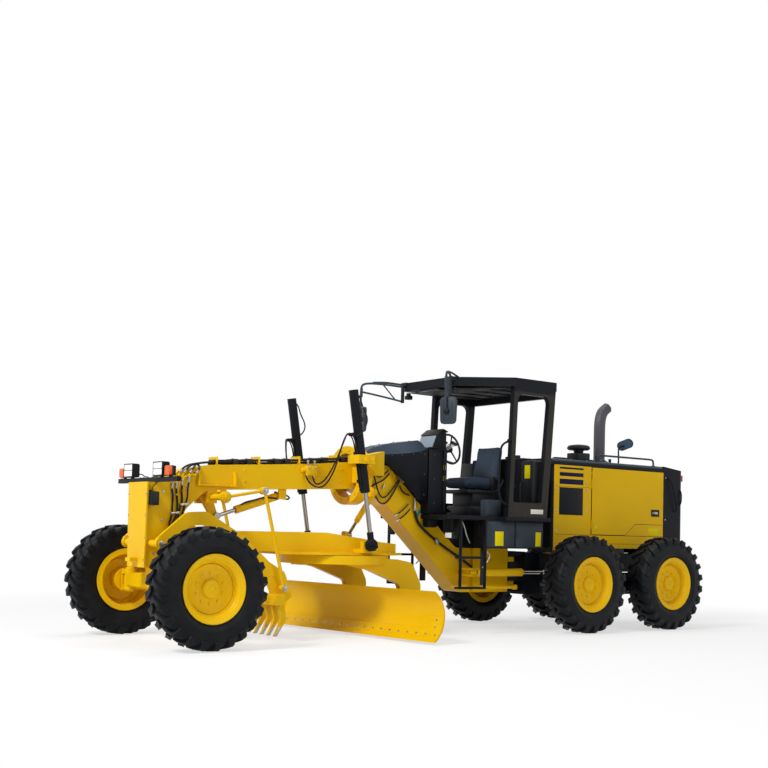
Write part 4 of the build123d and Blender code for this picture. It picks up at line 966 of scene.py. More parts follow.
@dataclass
class FrontAxle:
    """Kingpin caps, grease fittings and bolts on the front axle and its knuckles."""

    pin_y: float = 0.8
    low: float = 0.515
    high: float = 0.75

    def build(self) -> None:
        """Cap both kingpins."""
        for name, side in (("left", 1), ("right", -1)):
            cap = Shape()
            for z, way in ((self.high, Z), (self.low, -Z)):
                middle = at(0.0, side * self.pin_y, z)
                cap.turned([(0.0, 0.02), (0.03, 0.02), (0.044, 0.013), (0.048, 0.0), (0.0, 0.0)], middle, way,
                           32)
                cap.nuts(around(middle + way * 0.016, 0.034, 4, X, Y), way, 0.007, 0.006)
            cap.rod(at(0.06, side * 0.84, 0.66), at(0.075, side * 0.84, 0.66), 0.012, bevel=0.003)
            cap.nuts([at(0.06, side * 0.85, z) for z in (0.56, 0.7)], X, 0.013, 0.01)
            cap.piece(f"kingpin_caps_{name}", Finish.YELLOW, f"knuckle_{name}", "machine_yellow")
        ends = Shape()
        for side in (1, -1):
            ends.nut(at(-0.22, side * self.pin_y, 0.605), Z, 0.02, 0.014)
            ends.rod(at(-0.22, side * 0.73, 0.583), at(-0.22, side * 0.68, 0.583), 0.027, bevel=0.003)
        ends.piece("tie_rod_ends", Finish.STEEL, "tie_rod", "machine_yellow")


@dataclass
class LiftCylinder:
    """Ports, tubes, gland and ball cap of one blade lift cylinder."""

    side: int
    pivot: tuple = (-2.13, 0.655, 2.05)
    eye: tuple = (-2.3, 0.655, 1.077)

    def loops(self, name: str, port: Vector) -> None:
        """Two hoses that bend from the ports to the manifold on the beam.

        Args:
            name: Which side it is on.
            port: Middle of the ports.
        """
        side, hoses = self.side, Shape()
        for lane, drop in ((-0.022, 0.0), (0.022, 0.07)):
            hoses.tube([
                port + Y * lane, port + Y * lane + Vector((0.02, 0, 0.03)), at(-1.9, side * 0.62, 2.26 + lane),
                at(-1.87, side * 0.52, 2.02 - drop), at(-1.84, side * 0.38, 1.82 - drop),
                at(-1.8, side * 0.26, 1.75 - drop / 2),
                at(-1.74 + 2 * lane, side * 0.2, 1.79), at(-1.73 + 2 * lane, side * 0.19, 1.86)], 0.0095)
        made = hoses.finished(f"lift_hoses_{name}", Finish.HOSE)
        piece = bpy.data.objects.new(f"lift_hoses_{name}", made)
        bpy.context.scene.collection.objects.link(piece)
        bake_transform(piece)

    def build(self) -> None:
        """Dress the barrel and the eye of its rod."""
        name = "left" if self.side > 0 else "right"
        top = at(self.pivot[0], self.side * self.pivot[1], self.pivot[2])
        foot = at(self.eye[0], self.side * self.eye[1], self.eye[2])
        up = (top - foot).normalized()
        lean = Z.rotation_difference(up).to_matrix()
        fore = Y.cross(up).normalized()
        tubes, collars = Shape(), Shape()
        for y in (-0.02, 0.02):
            shift = fore * 0.0605 + Y * y
            tubes.tube([top + up * 0.29 + fore * 0.1 + Y * y, top + up * 0.25 + shift, top - up * 0.05 + shift,
                        top - up * 0.2 + shift, top - up * 0.33 + shift, top - up * 0.34 + fore * 0.058], 0.008)
        side = Y * self.side
        tubes.tube([top + up * 0.72 - fore * 0.064, top + up * 0.71 - fore * 0.085, top + up * 0.6 - fore * 0.1,
                    top + up * 0.46 - fore * 0.16, top + up * 0.36 - fore * 0.11, top + up * 0.3 + side * 0.076,
                    top + up * 0.27 + fore * 0.06 + side * 0.03], 0.0085)
        self.loops(name, top + up * 0.3 + fore * 0.12)
        for s, r in ((0.8, 0.0565), (0.76, 0.0565), (-0.36, 0.0565), (-0.34, 0.0565)):
            collars.rod(top + up * (s - 0.012), top + up * s, r, sides=40, bevel=0.003)
        for s, way in ((0.72, -fore), (-0.34, fore), (0.3, fore)):
            collars.rod(top + up * s + way * 0.045, top + up * s + way * 0.072, 0.015, bevel=0.003)
        collars.nuts([top + up * 0.3 + fore * 0.1 + Y * y for y in (-0.02, 0.02)], fore, 0.015, 0.02)
        for s in (0.3, 0.08, -0.24):
            spot = top + up * s + fore * (0.062 if s < 0.3 else 0.075)
            half = Vector((0.018 if s < 0.3 else 0.035, 0.036, 0.02))
            collars.box(spot - half, spot + half, 0.004, lean)
        tubes.piece(f"lift_tubes_{name}", Finish.HOSE, f"lift_barrel_{name}", "frame_black")
        collars.piece(f"lift_collars_{name}", Finish.BLACK, f"lift_barrel_{name}", "frame_black")
        cap = Shape()
        rows = [(0.0, 0.082), (0.026, 0.08), (0.042, 0.066), (0.05, 0.05), (0.056, 0.03), (0.074, 0.026),
                (0.076, 0.004),
                (0.066, -0.002), (0.066, -0.012), (0.076, -0.018), (0.074, -0.038), (0.058, -0.046),
                (0.046, -0.066), (0.0, -0.07)]
        cap.turned(rows, foot, up, 40)
        cap.nuts(around(foot + up * 0.026, 0.063, 6, fore, Y), up, 0.011, 0.012)
        cap.piece(f"lift_ball_cap_{name}", Finish.BLACK, f"lift_rod_{name}", "chrome_rod")


@dataclass
class Saddle:
    """Bolts of the hoop and caps on the arms of the lift saddle."""

    middle: float = 1.898
    hoop: float = 0.307

    def build(self) -> None:
        """Bolt the hoop and cap the trunnions."""
        bolts = Shape()
        bolts.nuts(around(at(-2.36, 0, self.middle), self.hoop, 12, Y, Z, 0.26), X, 0.016, 0.012)
        for side in SIDES:
            bolts.nuts(flat(side * 0.765, (-2.222, 2.05), (-2.038, 2.05)), Y * side, 0.012, 0.008)
            bolts.rod(at(-2.13, side * 0.764, 2.05), at(-2.13, side * 0.776, 2.05), 0.034, sides=32,
                      bevel=0.004)
        bolts.piece("saddle_bolts", Finish.YELLOW, slot="machine_yellow")


@dataclass
class Scarifier:
    """Pins, tooth wedges and hoses of the scarifier."""

    teeth: int = 9
    half: float = 0.59
    inset: float = 0.03
    knee: tuple = (0.23, 1.057)
    foot: tuple = (-1.24, 0.587)
    head: tuple = (-0.96, 1.65)
    shaft: tuple = (-0.5, 1.565)

    def lanes(self) -> list[float]:
        """Places of the teeth across the machine."""
        pitch = 2 * (self.half - self.inset) / (self.teeth - 1)
        return [-self.half + self.inset + pitch * step for step in range(self.teeth)]

    def build(self) -> None:
        """Pin the arms and rods and wedge the teeth."""
        pins, yellow = Shape(), Shape()
        for side in SIDES:
            way = Y * side
            pins.rod(*[flat(side * y, self.knee)[0] for y in (0.438, 0.448)], 0.03, sides=32, bevel=0.004)
            pins.rod(*[flat(side * y, self.foot)[0] for y in (0.528, 0.536)], 0.021, sides=24, bevel=0.003)
            yellow.turned([(0.044, 0.0), (0.044, 0.008), (0.056, 0.008), (0.058, 0.0)],
                          *flat(side * 0.4195, self.knee), way, 40)
            yellow.nuts(flat(side * 0.42, (-1.14, 0.72), (-1.24, 0.5), (-1.12, 0.5)), way, 0.014, 0.01)
            yellow.box(at(-1.33, side * 0.42 - 0.006, 0.44), at(-1.05, side * 0.42 + 0.006, 0.53), 0.003)
        pins.piece("draft_arm_pins", Finish.ZINC, "scarifier", "machine_yellow")
        for y in self.lanes():
            yellow.box(at(-1.215, y - 0.026, 0.43), at(-1.065, y + 0.026, 0.5), 0.006)
            yellow.rod(at(-1.14, y - 0.03, 0.4), at(-1.14, y + 0.03, 0.4), 0.013, sides=12, bevel=0.002)
        yellow.piece("tooth_holders", Finish.YELLOW, "scarifier", "machine_yellow")
        tips = Shape()
        for y in self.lanes():
            tips.plate(flat(y - 0.021, (-1.165, 0.17), (-1.135, 0.17), (-1.078, 0.068), (-1.112, 0.068)),
                       Y * 0.042, 0.003)
        tips.piece("tooth_tips", Finish.STEEL, "scarifier", "machine_yellow")
        rods = Shape()
        for side in SIDES:
            rods.rod(*[flat(side * y, self.head)[0] for y in (0.505, 0.522)], 0.024, sides=24, bevel=0.004)
            rods.nuts(flat(side * 0.522, self.head), Y * side, 0.016, 0.008)
            for spot in flat(side * 0.5095, self.foot, self.head):
                rods.turned([(0.028, 0.0), (0.028, 0.006), (0.038, 0.006), (0.04, 0.0)], spot, Y * side, 32)
        rods.piece("push_rod_pins", Finish.ZINC, "push_rods", "machine_yellow")
        caps = Shape()
        for side in SIDES:
            caps.turned([(0.0, 0.03), (0.03, 0.03), (0.034, 0.026), (0.034, 0.01), (0.05, 0.008), (0.054, 0.0),
                         (0.0, 0.0)],
                        *flat(side * 0.4695, self.shaft), Y * side, 40)
            caps.turned([(0.061, -0.012), (0.066, -0.01), (0.066, 0.01), (0.061, 0.012)],
                        *flat(side * 0.44, self.shaft), Y * side, 40)
            caps.nuts(around(*flat(side * 0.477, self.shaft), 0.043, 3, X, Z, 0.5), Y * side, 0.007, 0.006)
        caps.piece("scarifier_shaft_caps", Finish.YELLOW, "scarifier_lever", "machine_yellow")
        hose = Shape().tube([at(-1.36, 0.1, 1.58), at(-1.2, 0.11, 1.6), at(-1.05, 0.1, 1.55),
                             at(-0.95, 0.085, 1.53), at(-0.9, 0.06, 1.49)], 0.0095)
        hose.tube([at(-1.38, 0.0, 1.66), at(-1.5, 0.02, 1.64), at(-1.56, 0.06, 1.6), at(-1.5, 0.09, 1.57),
                   at(-1.37, 0.07, 1.6)], 0.0095)
        hose.piece("scarifier_hoses", Finish.HOSE, "scarifier_barrel", "frame_black")


@dataclass
class BladeGroup:
    """Bolts of the cutting edge, wear strips and the circle's bolts."""

    yaw: float = 5.0
    centre: float = -2.23
    half: float = 1.55

    def turn(self, x: float, y: float, z: float) -> Vector:
        """Point from stations counted from the circle's own middle and square to the blade."""
        return at(self.centre, 0, z) + Matrix.Rotation(math.radians(self.yaw), 3, "Z") @ Vector((x, y, 0))

    def face(self, z: float) -> tuple[float, Vector]:
        """Station and outward direction of the blade's face at a height.

        Args:
            z: Height.

        Returns:
            Its station and a unit vector, both square to the blade.
        """
        rise, radius = z - 0.3115, 0.339
        root = math.sqrt(radius ** 2 - rise ** 2)
        return 0.014 - root + 0.0355 * rise, Vector((root, 0, -rise)) / radius

    def build(self) -> None:
        """Bolt the cutting edge, the end bits and the circle."""
        spin = Matrix.Rotation(math.radians(self.yaw), 3, "Z")
        edge = Shape()
        spots = [(-self.half + 0.06 + 0.149 * step, 0.107) for step in range(21)]
        spots += [(side * (self.half - 0.1), z) for side in (-1, 1) for z in (0.19, 0.27)]
        for y, z in spots:
            x, out = self.face(z)
            fore, spot = spin @ out, self.turn(x + 0.012, y, z)
            edge.rod(spot - fore * 0.004, spot + fore * 0.007, 0.0135, sides=16, bevel=0.003)
        edge.piece("edge_bolts", Finish.STEEL, "moldboard", "machine_yellow")
        shoes = Shape()
        for x, z in ((-0.375, 0.19), (-0.36, 0.49)):
            for y in (-0.44, 0.44):
                shoes.nuts([self.turn(x - 0.05, y + gap, z) for gap in (-0.02, 0.02)], spin @ -X, 0.012, 0.01)
        for y in (-0.5, 0.5):
            way = spin @ (Y * (1 if y > 0 else -1))
            spot = self.turn(-0.62, y + math.copysign(0.05, y), 0.3)
            shoes.rod(spot, spot + way * 0.012, 0.045, sides=32, bevel=0.004)
            shoes.nut(spot + way * 0.012, way, 0.022, 0.014)
        shoes.piece("carrier_bolts", Finish.YELLOW, "blade_carrier", "machine_yellow")
        ring = Shape()
        ring.nuts(around(at(self.centre, 0, 0.95), 0.61, 24, X, Y), Z, 0.011, 0.003)
        ring.piece("circle_bolts", Finish.YELLOW, "circle", "machine_yellow")
        plate = Shape()
        spots = ((-1.5, 0.3), (-1.75, 0.44), (-2.05, 0.5), (-2.75, 0.4))
        plate.nuts([at(x, y, 0.983) for x, y in spots], Z, 0.016, 0.012)
        plate.nuts(flat(0.5, (-2.36, 1.03), (-2.24, 1.03)), Z, 0.014, 0.011)
        plate.mirror_y().piece("drawbar_bolts", Finish.YELLOW, "drawbar", "machine_yellow")


# ---- cab
@dataclass
class Mirror:
    """One outside mirror: tube frame from the roof, ball joint, shell and glass."""

    side: int
    turn: float = 24.0

    def spot(self, x: float, y: float, z: float) -> Vector:
        """Point on this mirror's side of the machine."""
        return at(x, self.side * y, z)

    def build(self) -> None:
        """Make the mirror and its arm."""
        name, arm, spot = ("left" if self.side > 0 else "right"), Shape(), self.spot
        arm.tube([spot(-3.66, 0.42, 3.105), spot(-3.58, 0.5, 3.12), spot(-3.42, 0.66, 3.15),
                  spot(-3.28, 0.79, 3.165),
                  spot(-3.2, 0.855, 3.15), spot(-3.185, 0.865, 3.09), spot(-3.185, 0.865, 2.95),
                  spot(-3.19, 0.86, 2.7)], 0.0145)
        arm.tube([spot(-3.7, 0.52, 3.15), spot(-3.56, 0.6, 3.165), spot(-3.42, 0.68, 3.182),
                  spot(-3.3, 0.77, 3.172)], 0.0125)
        arm.tube([spot(-3.554, 0.475, 2.925), spot(-3.4, 0.64, 2.985), spot(-3.19, 0.86, 3.05)], 0.0125)
        arm.tube([spot(-3.4, 0.675, 3.15), spot(-3.5, 0.54, 2.95)], 0.009)
        arm.rod(spot(-3.19, 0.86, 2.98), spot(-3.19, 0.86, 3.1), 0.0185, bevel=0.003)
        arm.piece(f"mirror_arm_{name}", Finish.GREY)
        joint = Shape()
        for middle, below, above, bevel in (
                (spot(-3.572, 0.475, 3.0), (0.012, 0.024, 0.095), (0.012, 0.024, 0.13), 0.004),
                (spot(-3.63, 0.46, 3.14), (0.06, 0.05, 0.02), (0.06, 0.05, 0.03), 0.006)):
            joint.box(middle - Vector(below), middle + Vector(above), bevel)
        joint.nuts([spot(-3.56, 0.475, z) for z in (2.93, 3.0, 3.07)], X, 0.012, 0.01)
        joint.turned([(0.0, 0.04), (0.02, 0.038), (0.034, 0.024), (0.038, 0.004), (0.03, -0.012), (0.0, -0.02)],
                     spot(-3.2, 0.86, 2.69), X, 32)
        joint.piece(f"mirror_joint_{name}", Finish.PLASTIC)
        swing = Matrix.Rotation(self.side * math.radians(self.turn), 3, "Z")
        shell, glass = Shape(), Shape()
        centre = spot(-3.235, 0.86, 2.69)
        rows = [centre + swing @ Vector((-0.02, y, z)) for y, z in (
            (-0.104, -0.12), (-0.089, -0.152), (-0.054, -0.162), (0.054, -0.162), (0.089, -0.152),
            (0.104, -0.12),
            (0.112, 0.12), (0.097, 0.152), (0.06, 0.162), (-0.06, 0.162), (-0.097, 0.152), (-0.112, 0.12))]
        shell.plate(rows, swing @ Vector((0.04, 0, 0)), 0.012)
        for y in (-0.06, 0.06):
            low = centre + swing @ Vector((0.02, y, 0))
            shell.rod(low - Z * 0.11, low + Z * 0.11, 0.004, sides=8)
        shell.piece(f"mirror_shell_{name}", Finish.GREY)
        inner = [centre + swing @ Vector((-0.0215, y, z)) for y, z in (
            (-0.088, -0.126), (0.088, -0.126), (0.088, 0.126), (-0.088, 0.126))]
        glass.plate(inner, swing @ Vector((-0.0015, 0, 0)), 0)
        made = glass.piece(f"mirror_glass_{name}", Finish.MIRROR, slot="lamp_black")
        if self.side > 0:
            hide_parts("mirrors")


@dataclass
class Roof:
    """Bolts, gutters and lamps of the canopy's roof and posts."""

    half: float = 0.815

    def build(self) -> None:
        """Dress the roof and its posts."""
        trim, bolts = Shape(), Shape()
        for side in SIDES:
            y = side * (self.half - 0.035)
            for x in (-4.46, -4.7, -4.94):
                trim.box(at(x - 0.006, y - 0.02, 3.0), at(x + 0.006, y + 0.02, 3.09), 0.002)
            trim.tube([at(-4.36, side * 0.79, 3.093), at(-4.7, side * 0.79, 3.086),
                       at(-5.08, side * 0.79, 3.086)], 0.006)
            corners = ((-4.312, 1.52), (-4.316, 1.6), (-4.89, 1.52), (-4.9, 1.6), (-4.4, 3.04), (-4.99, 3.04))
            bolts.nuts(flat(side * self.half, *corners), Y * side, 0.012, 0.008)
            sill = [(-4.42 - 0.1 * step, 1.475) for step in range(5)]
            bolts.nuts(flat(side * self.half, *sill), Y * side, 0.009, 0.006)
            trim.rod(at(-3.66, side * 0.46, 3.04), at(-3.66, side * 0.46, 3.0), 0.03, sides=24, bevel=0.004)
            trim.box(at(-3.7, side * 0.42, 2.955), at(-3.62, side * 0.5, 3.01), 0.012)
        trim.box(at(-3.66, -0.2, 3.03), at(-3.6, 0.2, 3.05), 0.004)
        trim.piece("roof_trim", Finish.PLASTIC)
        bolts.piece("post_bolts", Finish.POST)
        lining = Shape().plate([at(-3.68, -0.44, 3.035), at(-3.68, 0.44, 3.035), at(-4.36, 0.74, 3.078),
                                at(-4.36, -0.74, 3.078)], Z * 0.006, 0.002)
        lining.plate([at(-4.36, -0.735, 3.078), at(-4.36, 0.735, 3.078), at(-4.98, 0.735, 3.08),
                      at(-4.98, -0.735, 3.08)], Z * 0.006, 0.002)
        for step in range(4):
            y = -0.45 + 0.3 * step
            lining.box(at(-4.9, y - 0.01, 3.066), at(-3.8 - 0.2 * abs(y), y + 0.01, 3.08), 0.004)
        lining.piece("roof_lining", Finish.LINING_AND_MOUTH_SHADE)
        label = Shape().box(at(-4.874, self.half - 0.001, 1.502), at(-4.658, self.half + 0.0012, 1.559), 0.0005)
        label.piece("blank_sill_label", Finish.PALE_LABEL)


@dataclass
class Cowl:
    """Folded cowl over the frame's top bend and the dash box behind it.

    The columns of its sections are the station, the half width, the height of the lower edge, the
    height of the side's top edge, and the ridge's half width and height.
    """

    wall: float = 0.3
    sections: tuple = (
        (-2.575, 0.185, 2.075, 2.115, 0.12, 2.19), (-2.64, 0.192, 2.075, 2.145, 0.125, 2.232),
        (-2.83, 0.215, 2.048, 2.171, 0.13, 2.292), (-2.95, 0.245, 1.93, 2.18, 0.14, 2.312),
        (-3.08, 0.3, 1.805, 2.195, 0.16, 2.333), (-3.253, 0.3, 1.63, 2.225, 0.19, 2.364),
        (-3.31, 0.3, 1.63, 2.24, 0.2, 2.373), (-3.365, 0.3, 1.63, 2.262, 0.2, 2.345),
        (-3.39, 0.3, 1.63, 2.27, 0.2, 2.3))

    def skin(self) -> None:
        """Loft the folded sheet through its sections."""
        shell = Shape()
        rings = []
        for x, half, low, high, ridge, top in self.sections:
            rows = [(half, low), (half, high), (ridge, top), (-ridge, top), (-half, high), (-half, low)]
            rings.append([shell.mesh.verts.new(at(x, y, z)) for y, z in rows])
        for first, second in zip(rings, rings[1:]):
            edges = [shell.mesh.edges.get(pair) or shell.mesh.edges.new(pair)
                     for ring in (first, second) for pair in zip(ring, ring[1:])]
            bmesh.ops.bridge_loops(shell.mesh, edges=edges)
        shell.mesh.faces.new(rings[-1])
        shell.mesh.faces.new(rings[0])
        bmesh.ops.recalc_face_normals(shell.mesh, faces=shell.mesh.faces[:])
        made = shell.piece("cowl_shell", Finish.BLACK, smooth=20.0)
        # Upward faces high on the cowl take the lighter blue-black finish: painted sky sheen on its top.
        made.data.materials.append(material(Finish.PAINTED_TOP_SHEEN))
        for face in made.data.polygons:
            if abs(face.normal.z) > 0.35 and face.center.z > 2.1:
                face.material_index = 1
        wall = made.modifiers.new("wall", "SOLIDIFY")
        wall.thickness, wall.offset = 0.006, -1.0
        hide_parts("cowl")

    def build(self) -> None:
        """Make the cowl, its dash box and their bolts."""
        self.skin()
        box, bolts = Shape(), Shape()
        box.box(at(-3.65, -0.3, 1.47), at(-3.41, 0.3, 2.27), 0.012)
        edge = ((-3.42, 2.285), (-3.62, 2.285), (-3.655, 2.27), (-3.655, 1.5))
        for side in SIDES:
            box.box(at(-3.6, side * 0.22 - 0.06, 1.3), at(-3.43, side * 0.22 + 0.06, 1.5), 0.03)
            box.tube([at(-3.4, side * 0.3, 2.28)] + flat(side * 0.31, *edge), 0.01)
        box.piece("dash_box", Finish.BLACK)
        for side in SIDES:
            for (x0, h0, _, z0, _, _), (x1, h1, _, z1, _, _) in zip(self.sections[1:6], self.sections[2:7]):
                spot = Vector((x0 + x1, h0 + h1, z0 + z1)) / 2
                bolts.nut(at(spot.x, side * spot.y, spot.z - 0.02), Y * side, 0.008, 0.006)
            spots = flat(side * self.wall, (-3.34, 1.7), (-3.34, 1.95), (-3.34, 2.2), (-3.5, 1.6), (-3.5, 1.9),
                         (-3.5, 2.2))
            bolts.nuts(spots, Y * side, 0.009, 0.006)
            for x0, r0, z0 in ((-2.7, 0.127, 2.251), (-2.95, 0.14, 2.312), (-3.2, 0.18, 2.355)):
                bolts.nut(at(x0, side * (r0 - 0.02), z0 - 0.001), Z, 0.01, 0.008)
        bolts.piece("cowl_bolts", Finish.GREY)


@dataclass
class Console:
    """Console with its dash, dials, levers, pedals and steering wheel."""

    def knob(self, shape: Shape, spot: Vector, way: Vector) -> None:
        """Set one round lever knob."""
        shape.turned([(0.0, -0.012), (0.009, -0.012), (0.017, 0.0), (0.019, 0.012), (0.015, 0.026),
                      (0.0, 0.032)], spot, way, 20)

    def build(self) -> None:
        """Make the console and dress it."""
        levers, knobs, dials = Shape(), Shape(), Shape()
        for side in SIDES:
            for step in range(4):
                y = side * (0.055 + 0.034 * step)
                foot, head = at(-3.79, y, 2.3 - 0.01 * step), at(-3.97 + 0.012 * step, y * 1.12,
                        2.39 - 0.012 * step)
                levers.rod(foot, head, 0.0055, sides=12)
                self.knob(knobs, head, (head - foot))
        levers.tube([at(-3.78, -0.17, 2.2), at(-3.9, -0.24, 2.24), at(-4.2, -0.3, 2.18),
                     at(-4.34, -0.3, 2.163)], 0.007)
        for step in range(3):
            y = -0.095 + 0.095 * step
            spot = at(-3.8005, y, 2.4)
            dials.turned([(0.0, 0.002), (0.028, 0.002), (0.03, 0.006), (0.036, 0.006), (0.037, 0.0),
                          (0.0, 0.0)], spot, -X, 32)
        body = Shape()
        body.box(at(-3.79, -0.2, 1.457), at(-3.64, 0.2, 2.3), 0.014)
        body.plate(flat(-0.16, (-3.645, 2.27), (-3.58, 2.3), (-3.645, 2.46), (-3.74, 2.53), (-3.8, 2.5),
                        (-3.8, 2.27)),
                   Y * 0.32, 0.008)
        body.rod(at(-3.76, 0, 2.15), at(-3.97, 0, 2.305), 0.03, 0.024, sides=28, bevel=0.004)
        made = body.piece("console_body", Finish.BLACK)
        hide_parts("console")
        hood = Shape().plate([at(-3.64, -0.168, 2.462), at(-3.64, 0.168, 2.462), at(-3.742, 0.168, 2.536),
                              at(-3.742, -0.168, 2.536)], Z * 0.014, 0.004)
        hood.plate([at(-3.742, -0.168, 2.536), at(-3.742, 0.168, 2.536), at(-3.82, 0.168, 2.506),
                    at(-3.82, -0.168, 2.506)], Z * 0.014, 0.004)
        hood.piece("dash_cap", Finish.POST)
        face = Shape().plate([at(-3.58, -0.15, 2.305), at(-3.58, 0.15, 2.305), at(-3.64, 0.15, 2.455),
                              at(-3.64, -0.15, 2.455)], Vector((0.004, 0, 0.0016)), 0.001)
        face.piece("dash_front", Finish.SLATE)
        plates = Shape()
        for z in (2.06, 1.92):
            plates.box(at(-3.76, 0.2, z - 0.03), at(-3.69, 0.2025, z + 0.03), 0.001)
        plates.piece("blank_console_plates", Finish.LABEL)
        drawer = Shape().box(at(-3.78, 0.19, 1.62), at(-3.66, 0.206, 1.76), 0.004)
        drawer.box(at(-3.77, 0.2, 1.63), at(-3.67, 0.209, 1.64), 0.002)
        for side, x in ((-1, -3.86), (1, -3.86), (1, -3.9)):
            y = side * (0.13 if x > -3.88 else 0.02)
            drawer.box(at(x - 0.05, y - 0.035, 1.52), at(x + 0.04, y + 0.035, 1.534), 0.004,
                       Matrix.Rotation(-0.6, 3, "Y"))
            drawer.rod(at(x + 0.03, y, 1.5), at(x + 0.06, y, 1.6), 0.008)
        drawer.piece("console_drawer_and_pedals", Finish.PLASTIC)
        levers.rod(at(-3.72, 0.209, 1.7), at(-3.72, 0.228, 1.7), 0.009, bevel=0.002)
        levers.piece("lever_rods", Finish.ZINC)
        knobs.piece("lever_knobs", Finish.PLASTIC)
        dials.piece("dash_dials", Finish.STEEL)
        self.wheel()

    def wheel(self) -> None:
        """Steering wheel with its hub, spokes and grip, and the column's boot."""
        tilt = Matrix.Rotation(math.radians(-74), 3, "Y")
        centre, up = at(-3.99, 0, 2.312), tilt @ Z
        grip = Shape()
        grip.turned([(0.0, 0.024), (0.03, 0.022), (0.044, 0.012), (0.046, -0.012), (0.03, -0.05),
                     (0.0, -0.055)], centre, up, 36)
        ring = [(0.19 + 0.0135 * math.cos(k * math.tau / 12),
                 0.0135 * math.sin(k * math.tau / 12)) for k in range(12)]
        grip.turned(ring, centre, up, 64)
        for turn in (0.5, 2.64, 4.71):  # angles of the three spokes
            arm = tilt @ Vector((math.cos(turn), math.sin(turn), 0))
            grip.rod(centre + arm * 0.03, centre + arm * 0.186, 0.011, 0.009, sides=12)
        for spot in around(centre, 0.19, 24, tilt @ X, tilt @ Y):
            along = up.cross(spot - centre).normalized()
            grip.rod(spot - along * 0.006, spot + along * 0.006, 0.0148, sides=14, bevel=0.003)
        grip.rod(at(-3.8, 0, 2.18), at(-3.87, 0, 2.23), 0.05, 0.036, sides=28, bevel=0.006)
        grip.piece("steering_wheel_grip", Finish.PLASTIC)


@dataclass
class Seat:
    """Seat with two padded cushions on a boxed pedestal."""

    settle: float = 0.018
    fill: float = 0.8
    voxel: float = 0.009
    pressure: float = 4.0
    frames: int = 20
    cushion: tuple = ((-4.6, 1.835), (-4.09, 1.835), (-4.06, 1.88), (-4.09, 1.93), (-4.3, 1.95), (-4.6, 1.95))
    backrest: tuple = ((-4.56, 1.93), (-4.575, 2.05), (-4.645, 2.385), (-4.735, 2.375), (-4.68, 1.91))

    def padded(self, name: str, outline: tuple, half: float, fill: float) -> None:
        """Make one cushion that swells between its corners.

        Args:
            name: Name of the cushion.
            outline: (x, z) corners of the slack cushion.
            half: Half its width.
            fill: Not used.
        """
        pad = Shape().plate(flat(half, *outline), Y * -2 * half, 0)
        across = [e for e in pad.mesh.edges if abs((e.verts[0].co - e.verts[1].co).y) > 0.3]
        rims = [e for e in pad.mesh.edges if e not in across]
        bmesh.ops.bevel(pad.mesh, geom=rims, offset=0.05, segments=4, profile=0.5, affect="EDGES",
                        clamp_overlap=True, material=-1)
        bmesh.ops.recalc_face_normals(pad.mesh, faces=pad.mesh.faces[:])
        mesh = pad.finished(name, Finish.VINYL, 60)
        made = stand(mesh, name, "front_frame", "seat_vinyl")
        grid = made.modifiers.new("grid", "REMESH")
        grid.mode, grid.voxel_size = "VOXEL", self.voxel
        self.apply(made)
        rest = [v.co.copy() for v in made.data.vertices]
        cloth = made.modifiers.new("cloth", "CLOTH")
        cloth.settings.use_pressure = True
        cloth.settings.uniform_pressure_force = self.pressure
        cloth.settings.effector_weights.gravity = 0.0
        cloth.settings.quality = 4
        for step in range(1, self.frames + 1):
            bpy.context.scene.frame_set(step)
        self.apply(made)
        for vert, start in zip(made.data.vertices, rest):
            move = vert.co - start
            if move.length > self.settle:
                vert.co = start + move.normalized() * self.settle
        bpy.context.scene.frame_set(1)
        round_off = made.modifiers.new("round", "SUBSURF")
        round_off.levels = round_off.render_levels = 1
        made.data.shade_smooth()
        made.data.materials.clear()
        made.data.materials.append(material(Finish.VINYL))

    @staticmethod
    def apply(made: bpy.types.Object) -> None:
        """Turn a piece's modifiers into its mesh."""
        graph = bpy.context.evaluated_depsgraph_get()
        mesh = bpy.data.meshes.new_from_object(made.evaluated_get(graph))
        made.modifiers.clear()
        made.data = mesh

    def build(self) -> None:
        """Make the seat and stand it in the CAD seat's place."""
        base = Shape().box(at(-4.64, -0.24, 1.457), at(-4.16, 0.24, 1.59), 0.014)
        base.box(at(-4.6, -0.2, 1.585), at(-4.22, 0.2, 1.76), 0.01)
        base.box(at(-4.6, -0.22, 1.75), at(-4.12, 0.22, 1.8), 0.012)
        base.plate(flat(0.16, (-4.58, 1.78), (-4.66, 1.78), (-4.745, 2.3), (-4.7, 2.3)), Y * -0.32, 0.01)
        for side in SIDES:
            base.tube([at(-4.6, side * 0.2, 1.79), at(-4.69, side * 0.235, 1.84),
                       at(-4.71, side * 0.235, 1.95)], 0.013)
        made = base.piece("seat_base", Finish.PLASTIC)
        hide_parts("seat")
        self.padded("seat_cushion", self.cushion, 0.235, self.fill)
        self.padded("seat_backrest", self.backrest, 0.228, self.fill)
        belt = Shape()
        for side in SIDES:
            belt.box(at(-4.56, side * 0.235 - 0.012, 1.86), at(-4.5, side * 0.235 + 0.012, 1.98), 0.006)
        belt.piece("belt_buckles", Finish.PLASTIC)


